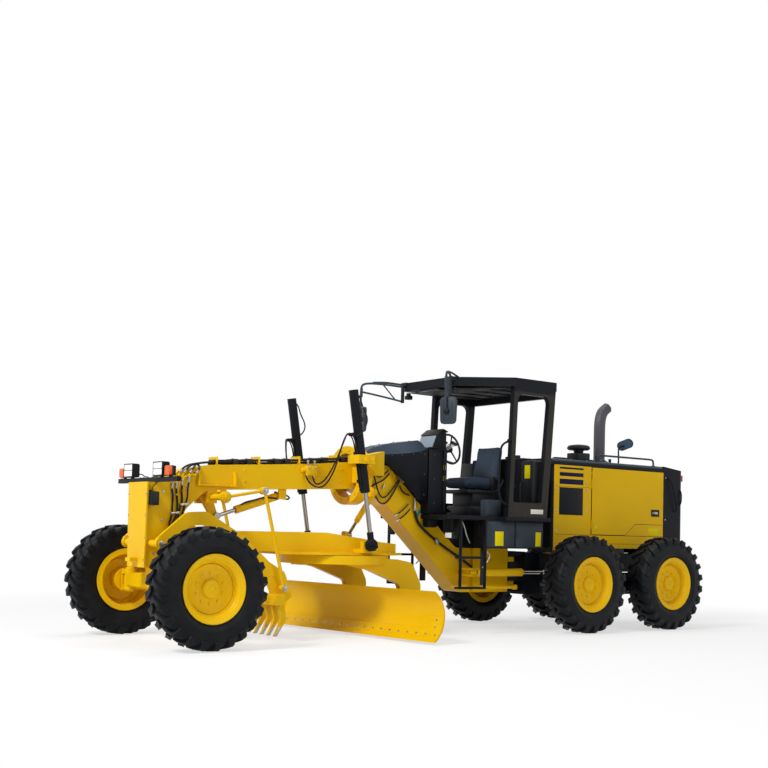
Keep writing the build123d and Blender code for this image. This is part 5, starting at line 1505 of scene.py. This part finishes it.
@dataclass
class Platform:
    """Grab rails, boxes, treads and blank labels round the cab's floor."""

    edge: float = 0.715

    def rails(self) -> None:
        """Bent grab rails at the front posts and handles by the ladders."""
        rail, bright = Shape(), Shape()
        for side in SIDES:
            run = [(-4.3, 2.4), (-4.2, 2.375), (-4.144, 2.28), (-4.138, 2.0), (-4.131, 1.72), (-4.2, 1.62),
                   (-4.3, 1.6)]
            rail.tube(flat(side * 0.785, *run), 0.014)
            for z in (2.4, 1.6):
                rail.rod(at(-4.286, side * 0.785, z), at(-4.278, side * 0.785, z), 0.026, bevel=0.002)
            bright.tube([at(-3.7, side * 0.6, 1.4), at(-3.74, side * 0.62, 1.3), at(-3.76, side * 0.62, 1.22),
                         at(-3.84, side * 0.6, 1.12)], 0.008)
            bright.tube(flat(side * 0.66, (-4.03, 1.05), (-4.1, 0.99), (-4.13, 0.96), (-4.06, 0.87),
                             (-4.0, 0.82)), 0.008)
        rail.piece("grab_rails", Finish.BLACK)
        self.ladders()
        bright.piece("ladder_handles", Finish.ZINC)

    def ladders(self) -> None:
        """Open ladders of flat bars, and the link that locks the articulation."""
        steps = Shape()
        for side in SIDES:
            for x in (-3.59, -3.988):
                steps.box(at(x - 0.011, side * 0.72 - 0.02, 0.56), at(x + 0.011, side * 0.72 + 0.02, 1.406),
                          0.004)
                steps.box(at(x - 0.011, side * 0.66 - 0.06, 1.2), at(x + 0.011, side * 0.66 + 0.06, 1.406),
                          0.004)
            for z in (0.56, 0.93):
                steps.box(at(-3.98, side * 0.71 - 0.03, z), at(-3.598, side * 0.71 + 0.03, z + 0.025), 0.004)
                steps.box(at(-3.98, side * 0.625 - 0.02, z), at(-3.598, side * 0.625 + 0.02, z + 0.025), 0.004)
                for x in (-3.61, -3.79, -3.965):
                    steps.box(at(x - 0.01, side * 0.67 - 0.05, z + 0.002),
                              at(x + 0.01, side * 0.67 + 0.05, z + 0.02), 0.002)
        made = steps.piece("ladder_frames", Finish.BLACK)
        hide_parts("ladders")
        link = Shape()
        link.rod(at(-3.9, 0.4, 0.56), at(-4.78, 0.4, 0.56), 0.02, sides=24, bevel=0.004)
        link.box(at(-3.96, 0.37, 0.53), at(-3.88, 0.43, 0.59), 0.008)
        link.box(at(-4.82, 0.37, 0.53), at(-4.76, 0.43, 0.59), 0.008)
        link.box(at(-4.0, 0.19, 0.54), at(-3.9, 0.4, 0.58), 0.004)
        link.piece("lock_link", Finish.YELLOW, slot="machine_yellow")

    def treads(self) -> None:
        """Raised grips on the rungs and on the floor."""
        tread = Shape()
        for side in SIDES:
            for z in (0.585, 0.955):
                for step in range(10):
                    x = -3.955 + 0.037 * step
                    for y in (0.625, 0.705):
                        tread.rod(at(x, side * y, z), at(x, side * y, z + 0.004), 0.009, 0.007, sides=8)
            for step in range(14):
                x = -3.45 - 0.055 * step
                for row in range(6):
                    y = side * (0.37 + 0.055 * row + 0.02 * (step % 2))
                    if x > -4.2:
                        tread.box(at(x - 0.016, y - 0.004, 1.456), at(x + 0.016, y + 0.004, 1.459), 0.001,
                                  Matrix.Rotation(0.8 if (row + step) % 2 else -0.8, 3, "Z"))
        tread.piece("tread_grips", Finish.POST)

    def boxes(self) -> None:
        """Near box, side box lids with latches, work light and blank labels."""
        box = Shape()
        for side in SIDES:
            box.box(at(-4.97, side * self.edge - 0.003, 1.075), at(-4.505, side * self.edge + 0.003, 1.39),
                    0.003)
            box.box(at(-4.475, side * self.edge - 0.003, 1.075), at(-4.01, side * self.edge + 0.003, 1.39),
                    0.003)
            for x in (-4.53, -4.45):
                box.box(at(x - 0.012, side * (self.edge + 0.007) - 0.006, 1.2),
                        at(x + 0.012, side * (self.edge + 0.007) + 0.006, 1.26), 0.003)
            corners = [(x, z) for x in (-4.94, -4.04) for z in (1.1, 1.36)]
            box.nuts(flat(side * (self.edge + 0.003), *corners), Y * side, 0.009, 0.006)
        box.box(at(-4.335, 0.5, 1.456), at(-4.09, 0.62, 1.665), 0.012)
        box.box(at(-4.325, 0.614, 1.47), at(-4.1, 0.624, 1.65), 0.004)
        box.piece("side_box_lids", Finish.GREY)
        labels = Shape()
        for low, high in ((-4.291, -4.151), (-4.938, -4.843)):
            labels.box(at(low, self.edge + 0.0025, 1.093), at(high, self.edge + 0.0042, 1.271), 0.0006)
        labels.mirror_y().piece("blank_box_labels", Finish.LABEL)
        lamp, glass = Shape(), Shape()
        for side in SIDES:
            lamp.box(at(-3.72, side * 0.45 - 0.07, 1.166), at(-3.62, side * 0.45 + 0.07, 1.254), 0.014)
            lamp.rod(at(-3.67, side * 0.45, 1.25), at(-3.67, side * 0.45, 1.41), 0.012)
            glass.box(at(-3.625, side * 0.45 - 0.058, 1.178), at(-3.614, side * 0.45 + 0.058, 1.242), 0.004)
            lamp.box(at(-4.12, side * 0.6 - 0.004, 0.6), at(-4.02, side * 0.6 + 0.004, 1.07), 0.003)
        lamp.piece("work_lights", Finish.PLASTIC, slot="lamp_black")
        glass.piece("work_light_lenses", Finish.HEADLAMP, slot="lamp_black")
        tank, mark = Shape(), Shape()
        for side in SIDES:
            tank.box(at(-5.0, side * 0.59 - 0.115, 1.457), at(-4.79, side * 0.59 + 0.115, 2.19), 0.02)
            tank.box(at(-4.791, side * 0.59 - 0.1, 1.5), at(-4.784, side * 0.59 + 0.1, 2.15), 0.003)
            tank.tube([at(-4.786, side * 0.52, 1.9), at(-4.75, side * 0.52, 1.9), at(-4.745, side * 0.52, 1.85),
                       at(-4.75, side * 0.52, 1.62), at(-4.786, side * 0.52, 1.6)], 0.008)
        tank.box(at(-4.95, 0.1, 2.23), at(-4.86, 0.2, 2.262), 0.01)
        tank.rod(at(-4.9, 0.3, 2.225), at(-4.9, 0.3, 2.275), 0.04, 0.036, sides=28, bevel=0.004)
        tank.tube([at(-4.82, 0.3, 2.22), at(-4.8, 0.3, 2.34), at(-4.77, 0.31, 2.4)], 0.008)
        tank.turned([(0.0, -0.014), (0.012, -0.012), (0.02, 0.0), (0.02, 0.012), (0.012, 0.024), (0.0, 0.026)],
                    at(-4.765, 0.31, 2.41), Z, 20)
        for z in (1.6, 1.85):
            tank.box(at(-4.803, 0.3, z), at(-4.795, 0.4, z + 0.03), 0.003)
        tank.piece("tank_trim", Finish.PLASTIC)
        mark.box(at(-4.7845, 0.56, 1.96), at(-4.7825, 0.66, 2.13), 0.0006)
        mark.piece("blank_tank_label", Finish.LABEL)

    def build(self) -> None:
        """Dress the platform."""
        self.rails()
        self.treads()
        self.boxes()


# ---- rear of the machine
@dataclass
class Hood:
    """Everything on the hood: its flanks, doors, exhaust, air intake, rails and mirror."""

    half: float = 0.5
    stack_x: float = -6.77

    def sheet(self, shape: Shape, x: tuple, z: tuple, out: float = 0.0015) -> None:
        """Lay a thin sheet on the hood's flank.

        Args:
            shape: Shape that takes it.
            x: Its two stations along the machine.
            z: Its two heights.
            out: How far it stands out.
        """
        shape.box(at(x[0], self.half - 0.0004, z[0]), at(x[1], self.half + out, z[1]), min(0.0004, out / 3))

    def flank(self) -> None:
        """Stripes, plate, seam and bolts of the fixed front panel and the skirt."""
        stripes, plate, seam, bolts = Shape(), Shape(), Shape(), Shape()
        for low, high in ((2.126, 2.151), (2.031, 2.082), (1.924, 1.994)):
            self.sheet(stripes, (-5.93, -5.479), (low, high))
        self.sheet(plate, (-5.925, -5.478), (1.516, 1.881), 0.0025)
        self.sheet(seam, (-6.085, -5.42), (1.892, 1.8955), 0.0015)
        self.sheet(seam, (-6.085, -5.42), (1.255, 1.2585), 0.0015)
        self.sheet(seam, (-7.57, -6.1), (1.14, 1.1435), 0.0015)
        self.sheet(seam, (-6.085, -5.42), (1.14, 1.142), 0.001)
        for x, z in ((-5.425, 1.848), (-6.003, 1.854), (-5.425, 1.568), (-5.993, 1.575), (-5.425, 1.3),
                     (-5.984, 1.955)):
            bolts.rod(at(x, self.half, z), at(x, self.half + 0.003, z), 0.014, sides=20)
            bolts.nut(at(x, self.half + 0.002, z), Y, 0.009, 0.007)
        bolts.nuts([at(x, self.half, 1.11) for x in (-6.2, -6.65, -7.1, -7.5)], Y, 0.009, 0.006)
        ridge = (-5.42, -5.75, -6.05, -6.5, -7.0, -7.5)
        bolts.nuts([at(x, 0.44, 2.2605) for x in ridge], Z, 0.009, 0.005)
        stripes.mirror_y().piece("hood_stripes", Finish.NAVY, "rear_frame", "machine_yellow")
        plate.mirror_y().piece("blank_hood_plate", Finish.BLACK, *REAR)
        seam.mirror_y().piece("hood_seams", Finish.POST, *REAR)
        bolts.mirror_y().piece("hood_bolts", Finish.ZINC, "rear_frame", "machine_yellow")
        marks = Shape()
        self.sheet(marks, (-7.477, -7.266), (1.16, 1.235))
        marks.mirror_y().piece("blank_skirt_labels", Finish.LABEL, "rear_frame", "machine_yellow")
        top = Shape()
        top.box(at(-6.094, -0.43, 2.2595), at(-6.086, 0.43, 2.264), 0.0015)
        top.box(at(-7.3, -0.3, 2.26), at(-6.98, 0.3, 2.268), 0.003)
        for step in range(9):
            x = -7.28 + 0.034 * step
            top.box(at(x, -0.27, 2.266), at(x + 0.014, 0.27, 2.272), 0.002)
        top.piece("hood_top_seams", Finish.BLACK, *REAR)

    def door(self, side: int) -> None:
        """Groove, handle and blank label of one engine door.

        Args:
            side: +1 left, -1 right.
        """
        name = "left" if side > 0 else "right"
        groove, metal, mark = Shape(), Shape(), Shape()
        run = [(-6.12, 1.262), (-6.774, 1.262), (-6.984, 1.42), (-7.565, 1.422)]
        for (x0, z0), (x1, z1) in zip(run, run[1:]):
            groove.plate([at(x0, side * self.half, z0 - 0.003), at(x1, side * self.half, z1 - 0.003),
                          at(x1, side * self.half, z1 + 0.003), at(x0, side * self.half, z0 + 0.003)],
                          Y * (side * 0.0015), 0)
        groove.box(at(-7.478, side * self.half - 0.001, 1.545), at(-7.325, side * self.half + 0.001, 1.632),
                   0.0005)
        for z in (1.542, 1.632):
            groove.box(at(-7.484, side * (self.half + 0.002) - 0.003, z - 0.004),
                       at(-7.319, side * (self.half + 0.002) + 0.003, z + 0.004), 0.0015)
        for x in (-7.484, -7.319):
            groove.box(at(x - 0.004, side * (self.half + 0.002) - 0.003, 1.54),
                       at(x + 0.004, side * (self.half + 0.002) + 0.003, 1.636), 0.0015)
        metal.box(at(-7.45, side * (self.half + 0.006) - 0.006, 1.572),
                  at(-7.38, side * (self.half + 0.006) + 0.006, 1.604), 0.005)
        metal.rod(at(-7.352, side * self.half, 1.588), at(-7.352, side * (self.half + 0.009), 1.588), 0.013,
                  sides=20, bevel=0.002)
        low, high = sorted((side * (self.half - 0.0004), side * (self.half + 0.0014)))
        mark.box(at(-7.477, low, 1.275), at(-7.266, high, 1.373), 0.0004)
        mark.box(at(-6.22, low, 1.33), at(-6.15, high, 1.39), 0.0004)
        body = f"engine_door_{name}"
        groove.piece(f"door_groove_{name}", Finish.POST, body, "machine_yellow")
        metal.piece(f"door_handle_{name}", Finish.ZINC, body, "machine_yellow")
        mark.piece(f"blank_door_label_{name}", Finish.LABEL, body, "machine_yellow")

    def exhaust(self) -> None:
        """Bent exhaust pipe with a near-black disc in its capped mouth, painted shade of the hollow with its
        soot, and foot bolts.
        """
        x = self.stack_x
        stack = Shape().tube([at(x, 0, 2.263), at(x, 0, 2.45), at(x, 0, 2.7), at(x - 0.002, 0, 2.86),
                              at(x - 0.03, 0, 2.98),
                              at(x - 0.085, 0, 3.045), at(x - 0.15, 0, 3.085)], 0.08)
        stack.rod(at(x, 0, 2.263), at(x, 0, 2.32), 0.1, sides=40, bevel=0.004)
        made = stack.piece("exhaust_pipe", Finish.EXHAUST, *REAR)
        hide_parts("exhaust_stack")
        way = Vector((-0.065, 0, 0.04)).normalized()
        mouth = at(x - 0.15, 0, 3.085)
        # Near-black disc in the capped mouth: painted shade of the pipe's hollow, with its soot.
        mouth_shade_disc = Shape().rod(mouth - way * 0.01, mouth + way * 0.0015, 0.071, sides=40)
        mouth_shade_disc.piece("exhaust_mouth_painted_shade", Finish.LINING_AND_MOUTH_SHADE, *REAR)
        bolts = Shape()
        bolts.nuts(around(at(x, 0, 2.32), 0.091, 6, X, Y), Z, 0.008, 0.007)
        bolts.piece("exhaust_bolts", Finish.STEEL, *REAR)

    def intake(self) -> None:
        """Air intake: box, neck and ribbed bowl."""
        intake = Shape().box(at(-6.465, -0.115, 2.263), at(-6.235, 0.115, 2.4), 0.012)
        intake.rod(at(-6.35, 0, 2.395), at(-6.35, 0, 2.445), 0.06, 0.075, sides=32, bevel=0.004)
        intake.turned([(0.0, 2.522), (0.06, 2.52), (0.128, 2.51), (0.15, 2.498), (0.1585, 2.48), (0.156, 2.458),
                       (0.14, 2.443),
                       (0.06, 2.438), (0.0, 2.438)], at(-6.35, 0, 0), Z, 56)
        for step in range(24):
            turn = math.tau * step / 24
            spot = at(-6.35 + 0.151 * math.cos(turn), 0.151 * math.sin(turn), 2.458)
            intake.box(spot - Vector((0.01, 0.003, 0)), spot + Vector((0.01, 0.003, 0.026)), 0.001,
                       Matrix.Rotation(turn + 0.7, 3, "Z"))
        made = intake.piece("air_intake", Finish.PLASTIC, *REAR)
        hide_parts("precleaner")

    def rails(self) -> None:
        """Bent hand rails along both edges of the hood's top."""
        rails = Shape()
        for side in SIDES:
            rails.tube(flat(
                side * 0.43, (-6.262, 2.263), (-6.265, 2.32), (-6.285, 2.348), (-6.34, 2.352), (-6.6, 2.352),
                (-7.1, 2.352), (-7.36, 2.352), (-7.41, 2.348), (-7.43, 2.32), (-7.432, 2.263)), 0.0135)
            for x in (-6.262, -7.432):
                rails.rod(at(x, side * 0.43, 2.258), at(x, side * 0.43, 2.268), 0.028, bevel=0.002)
        made = rails.piece("hood_hand_rails", Finish.GREY, *REAR)
        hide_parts("hood_rails")

    def mirror(self) -> None:
        """Oval mirror on its bent stalk."""
        oval, stalk = Shape(), Shape()
        middle = at(-7.03, 0.25, 2.55)
        face = Vector((0.9, 0.35, -0.3)).normalized()
        along = Vector((-0.25, 0.92, 0.31))
        along = (along - face * along.dot(face)).normalized()
        across = face.cross(along)
        rim = []
        for step in range(24):
            turn = math.tau * step / 24
            shift = 0.055 if math.cos(turn) > 0 else -0.055
            rim.append(middle + along * (0.07 * math.cos(turn) + shift) + across * 0.07 * math.sin(turn))
        oval.plate([point - face * 0.018 for point in rim], face * 0.02, 0.006)
        oval.piece("hood_mirror", Finish.PLASTIC, *REAR)
        pane = Shape().plate([middle + (point - middle) * 0.9 + face * 0.0025 for point in rim], face * 0.001,
                             0)
        # The pane's dark blue is a painted sky reflection, not a real mirror finish.
        pane.piece("hood_mirror_glass", Finish.PAINTED_SKY_REFLECTION, "rear_frame", "lamp_black")
        stalk.tube([at(-6.9, 0.25, 2.262), at(-6.9, 0.25, 2.38), at(-6.905, 0.24, 2.46), at(-6.96, 0.2, 2.52),
                    at(-7.05, 0.245, 2.545)], 0.011)
        stalk.rod(at(-6.9, 0.25, 2.26), at(-6.9, 0.25, 2.275), 0.034, bevel=0.003)
        stalk.rod(at(-6.72, 0.25, 2.26), at(-6.72, 0.25, 2.33), 0.02, bevel=0.003)  # oil filler
        stalk.piece("hood_mirror_stalk", Finish.BLACK, *REAR)

    def build(self) -> None:
        """Dress the hood and its doors."""
        self.flank()
        for side in (1, -1):
            self.door(side)
        self.exhaust()
        self.intake()
        self.rails()
        self.mirror()


@dataclass
class Radiator:
    """Guard, louvres, lamps and handles of the radiator housing."""

    rear: float = -8.02
    lamp_y: float = 0.3575
    hubs: tuple = (-5.42, -6.98)
    hub_z: float = 0.625

    def build(self) -> None:
        """Dress the rear end."""
        mesh = Shape().box(at(-7.996, -0.39, 1.05), at(-7.99, 0.39, 2.12), 0.001)
        mesh.piece("radiator_guard_sheet", Finish.GRILLE, *REAR)
        blades, bolts, lens, handles = Shape(), Shape(), Shape(), Shape()
        for number in range(8):
            z = 1.1203 + 0.12 * number
            blades.box(at(-8.034, -0.37, z + 0.03), at(-8.012, 0.37, z + 0.034), 0.001,
                       Matrix.Rotation(0.7, 3, "Y"))
            blades.box(at(-8.026, -0.37, z + 0.043), at(-8.018, 0.37, z + 0.052), 0.002)
        for y in (-0.385, 0.385):
            bolts.nuts([at(self.rear, y, 1.1 + 0.19 * step) for step in range(6)], -X, 0.009, 0.007)
        for side in SIDES:
            lens.box(at(-8.1175, side * self.lamp_y - 0.05, 2.07), at(-8.06, side * self.lamp_y + 0.05, 2.16),
                     0.01)
            run = ((-7.66, 0.5, 2.1), (-7.7, 0.535, 2.085), (-7.76, 0.54, 1.9), (-7.83, 0.54, 1.68),
                   (-7.84, 0.535, 1.64), (-7.81, 0.5, 1.62))
            handles.tube([at(x, side * y, z) for x, y, z in run], 0.011)
            handles.tube([at(-7.93, side * 0.48, 1.95), at(-7.95, side * 0.52, 1.94),
                          at(-7.95, side * 0.52, 1.72), at(-7.93, side * 0.48, 1.7)], 0.01)
            bolts.nuts(flat(side * 0.5, (-7.62, 1.1), (-7.62, 1.5), (-7.62, 2.1)), Y * side, 0.009, 0.007)
        blades.piece("rear_louvres", Finish.GREY, *REAR)
        bolts.piece("rear_bolts", Finish.ZINC, *REAR)
        lens.piece("tail_lamp_lenses", Finish.RED, "rear_frame", "lamp_black")
        handles.piece("rear_handles", Finish.BLACK, *REAR)
        self.tandems()

    def tandems(self) -> None:
        """Hub covers and bolts of the tandem cases."""
        tandem = Shape()
        for side in SIDES:
            for x in self.hubs:
                tandem.turned([(0.0, 0.012), (0.1, 0.012), (0.12, 0.008), (0.124, 0.0), (0.0, 0.0)],
                              at(x, side * 0.85, self.hub_z), Y * side, 40)
                tandem.nuts(around(at(x, side * 0.862, self.hub_z), 0.1, 8, X, Z), Y * side, 0.011, 0.008)
            lids = [(-5.55 - 0.21 * step, z) for step in range(7) for z in (0.52, 0.72)]
            tandem.nuts(flat(side * 0.85, *lids), Y * side, 0.011, 0.008)
        tandem.piece("tandem_bolts", Finish.YELLOW, *REAR)


# ---- studio
@dataclass(frozen=True)
class Studio:
    """Camera, soft lamps and a pale floor."""

    eye: tuple = (5.6209, 11.4502, 1.239)
    yaw: float = -126.81
    pitch: float = -0.044
    roll: float = 0.024
    lens: float = 54.61
    rise: float = 0.125
    veil: float = 0.6

    def camera(self) -> None:
        """Stand the camera in front of the machine's left side."""
        yaw = math.radians(self.yaw)
        way = Vector((math.cos(self.pitch) * math.cos(yaw), math.cos(self.pitch) * math.sin(yaw),
                      -math.sin(self.pitch)))
        right = way.cross(Z).normalized()
        up = right.cross(way)
        c, s = math.cos(self.roll), math.sin(self.roll)
        across, over = c * right + s * up, -s * right + c * up
        turn = Matrix((across, over, -way)).transposed().to_4x4()
        data = bpy.data.cameras.new("camera")
        data.lens, data.sensor_width, data.shift_y, data.clip_end = self.lens, 36.0, self.rise, 200.0
        made = bpy.data.objects.new("camera", data)
        made.matrix_world = Matrix.Translation(at(*self.eye)) @ turn
        bpy.context.scene.collection.objects.link(made)
        bpy.context.scene.camera = made

    def lamp(self, name: str, place: tuple, target: tuple, size: float, power: float) -> None:
        """Hang one soft lamp.

        Args:
            name: Name of the lamp.
            place: Where it hangs.
            target: What it points at.
            size: Width of its face.
            power: Power in watts.
        """
        data = bpy.data.lights.new(name, "AREA")
        data.shape, data.size, data.energy = "DISK", size, power
        made = bpy.data.objects.new(name, data)
        way = Vector(target) - Vector(place)
        made.matrix_world = Matrix.Translation(place) @ way.to_track_quat("-Z", "Y").to_matrix().to_4x4()
        bpy.context.scene.collection.objects.link(made)

    @staticmethod
    def backdrop(tree: bpy.types.NodeTree, shaded: bpy.types.NodeSocket,
                 plain: bpy.types.NodeSocket) -> bpy.types.NodeSocket:
        """Mix a plain bright look for the camera, gloss and glass with a shaded one for the rest.

        Args:
            tree: Node tree that takes the nodes.
            shaded: Shader seen by other rays.
            plain: Shader seen by the camera and in reflections.

        Returns:
            The mixed shader.
        """
        path = tree.nodes.new("ShaderNodeLightPath")
        total = path.outputs["Is Camera Ray"]
        for name in ("Is Glossy Ray", "Is Transmission Ray"):
            both = tree.nodes.new("ShaderNodeMath")
            both.operation = "MAXIMUM"
            tree.links.new(total, both.inputs[0])
            tree.links.new(path.outputs[name], both.inputs[1])
            total = both.outputs[0]
        mix = tree.nodes.new("ShaderNodeMixShader")
        tree.links.new(total, mix.inputs[0])
        tree.links.new(shaded, mix.inputs[1])
        tree.links.new(plain, mix.inputs[2])
        return mix.outputs[0]

    def ground(self) -> bpy.types.Material:
        """Pale floor that keeps the shadow near the machine and fades to plain white far from it."""
        made = bpy.data.materials.new("pale_floor")
        made.use_nodes = True
        tree = made.node_tree
        matt = tree.nodes["Principled BSDF"]
        matt.inputs["Base Color"].default_value = (0.9, 0.9, 0.9, 1)
        matt.inputs["Roughness"].default_value = 0.9
        white = tree.nodes.new("ShaderNodeEmission")
        white.inputs[0].default_value = (1, 1, 1, 1)
        place = tree.nodes.new("ShaderNodeTexCoord")
        length = tree.nodes.new("ShaderNodeVectorMath")
        length.operation = "LENGTH"
        tree.links.new(place.outputs["Object"], length.inputs[0])
        fade = tree.nodes.new("ShaderNodeMapRange")
        fade.interpolation_type = "SMOOTHSTEP"
        for name, value in (("From Min", 4.0), ("From Max", 10.0), ("To Min", self.veil), ("To Max", 1.0)):
            fade.inputs[name].default_value = value
        tree.links.new(length.outputs["Value"], fade.inputs["Value"])
        mix = tree.nodes.new("ShaderNodeMixShader")
        tree.links.new(fade.outputs["Result"], mix.inputs[0])
        tree.links.new(matt.outputs[0], mix.inputs[1])
        tree.links.new(white.outputs[0], mix.inputs[2])
        seen = self.backdrop(tree, matt.outputs[0], mix.outputs[0])
        tree.links.new(seen, tree.nodes["Material Output"].inputs[0])
        return made

    def build(self) -> None:
        """Set up the camera, the lamps, the world and the floor."""
        self.camera()
        self.lamp("key_lamp", (13.0, 3.0, 11.0), (0.5, 0.0, 1.0), 4.0, 1700)
        self.lamp("side_lamp", (-2.0, 14.0, 8.0), (-0.5, 0.0, 1.0), 8.0, 420)
        self.lamp("top_lamp", (-1.0, -2.0, 12.0), (0.0, 0.0, 1.5), 8.0, 420)
        world = bpy.data.worlds.new("studio")
        world.use_nodes = True
        tree = world.node_tree
        room = tree.nodes["Background"]
        room.inputs[0].default_value, room.inputs[1].default_value = (0.93, 0.96, 1.0, 1), 0.32
        plain = tree.nodes.new("ShaderNodeBackground")
        plain.inputs[0].default_value = (1, 1, 1, 1)
        out = tree.nodes["World Output"]
        tree.links.new(self.backdrop(tree, room.outputs[0], plain.outputs[0]), out.inputs[0])
        bpy.context.scene.world = world
        floor = bpy.data.meshes.new("floor")
        shape = bmesh.new()
        bmesh.ops.create_grid(shape, x_segments=1, y_segments=1, size=60.0)
        shape.to_mesh(floor)
        shape.free()
        ground = self.ground()
        floor.materials.append(ground)
        made = bpy.data.objects.new("floor", floor)
        bpy.context.scene.collection.objects.link(made)
        bpy.context.scene.view_settings.view_transform = "Standard"


LOW, HIGH = at(-20, -20, -20), at(20, 20, 20)
PARTINGS = {
    "hood_panels": (
        ((at(-5.383, 0, 0), X),),
        ((Finish.BLACK, at(-5.383, -20, 0), HIGH),)),
    "canopy": (
        ((at(0, 0, 3.035), Z),),
        ((Finish.POST, at(-20, 0.812, 0), at(20, 0.82, 3.035)),
         (Finish.POST, at(-20, -0.82, 0), at(20, -0.812, 3.035)))),
    # The hood top's highest faces take the lighter blue-black finish: painted sky sheen.
    "hood_top": ((), ((Finish.PAINTED_TOP_SHEEN, at(-20, -20, 2.23), HIGH),)),
    "lift_rod_left": ((), ((Finish.BLACK, LOW, at(-2.2, 20, 1.23)),)),
    "lift_rod_right": ((), ((Finish.BLACK, LOW, at(-2.2, 20, 1.23)),)),
}


def main() -> None:
    """Dress the whole machine."""
    logging.basicConfig(level=logging.INFO, format="%(message)s")
    Studio().build()
    tyre, rim = Tyre().mesh(), Rim().mesh()
    for place in ("front", "middle", "rear"):
        for side in (1, -1):
            Wheel(place, side).build(tyre, rim)
    shells = {
        Finish.YELLOW: (
            "front_frame", "front_axle", "knuckle_left", "knuckle_right", "tie_rod", "lift_saddle", "drawbar",
            "circle", "moldboard", "blade_carrier", "scarifier", "scarifier_lever", "push_rods",
            "scarifier_barrel",
            "swing_barrel", "hitch_barrel_left", "hitch_barrel_right", "hood_panels", "engine_door_left",
            "engine_door_right"),
        Finish.BLACK: (
            "lamp_bar", "cab_platform", "hydraulic_tank", "radiator_housing",
            "hood_top", "lift_barrel_left", "lift_barrel_right", "rear_frame",
            "tandem_axle", "canopy"),
        Finish.CHROME: (
            "lift_rod_left", "lift_rod_right", "scarifier_rod", "swing_rod", "hitch_rod_left",
            "hitch_rod_right"),
        Finish.CASTING: ("engine_block",),
    }
    for finish, nodes in shells.items():
        for node in nodes:
            cuts, patches = PARTINGS.get(node, ((), ()))
            softened(node, finish, 0.002 if finish is Finish.CHROME else 0.005, cuts, patches)
    for group in (Nose(), LampBar(), Beam(), FrontAxle(), LiftCylinder(1), LiftCylinder(-1), Saddle(),
                  Scarifier(),
                  BladeGroup(), Mirror(1), Mirror(-1), Roof(), Cowl(), Console(), Seat(), Platform(),
                  Hood(), Radiator()):
        group.build()


if __name__ == "__main__":
    main()
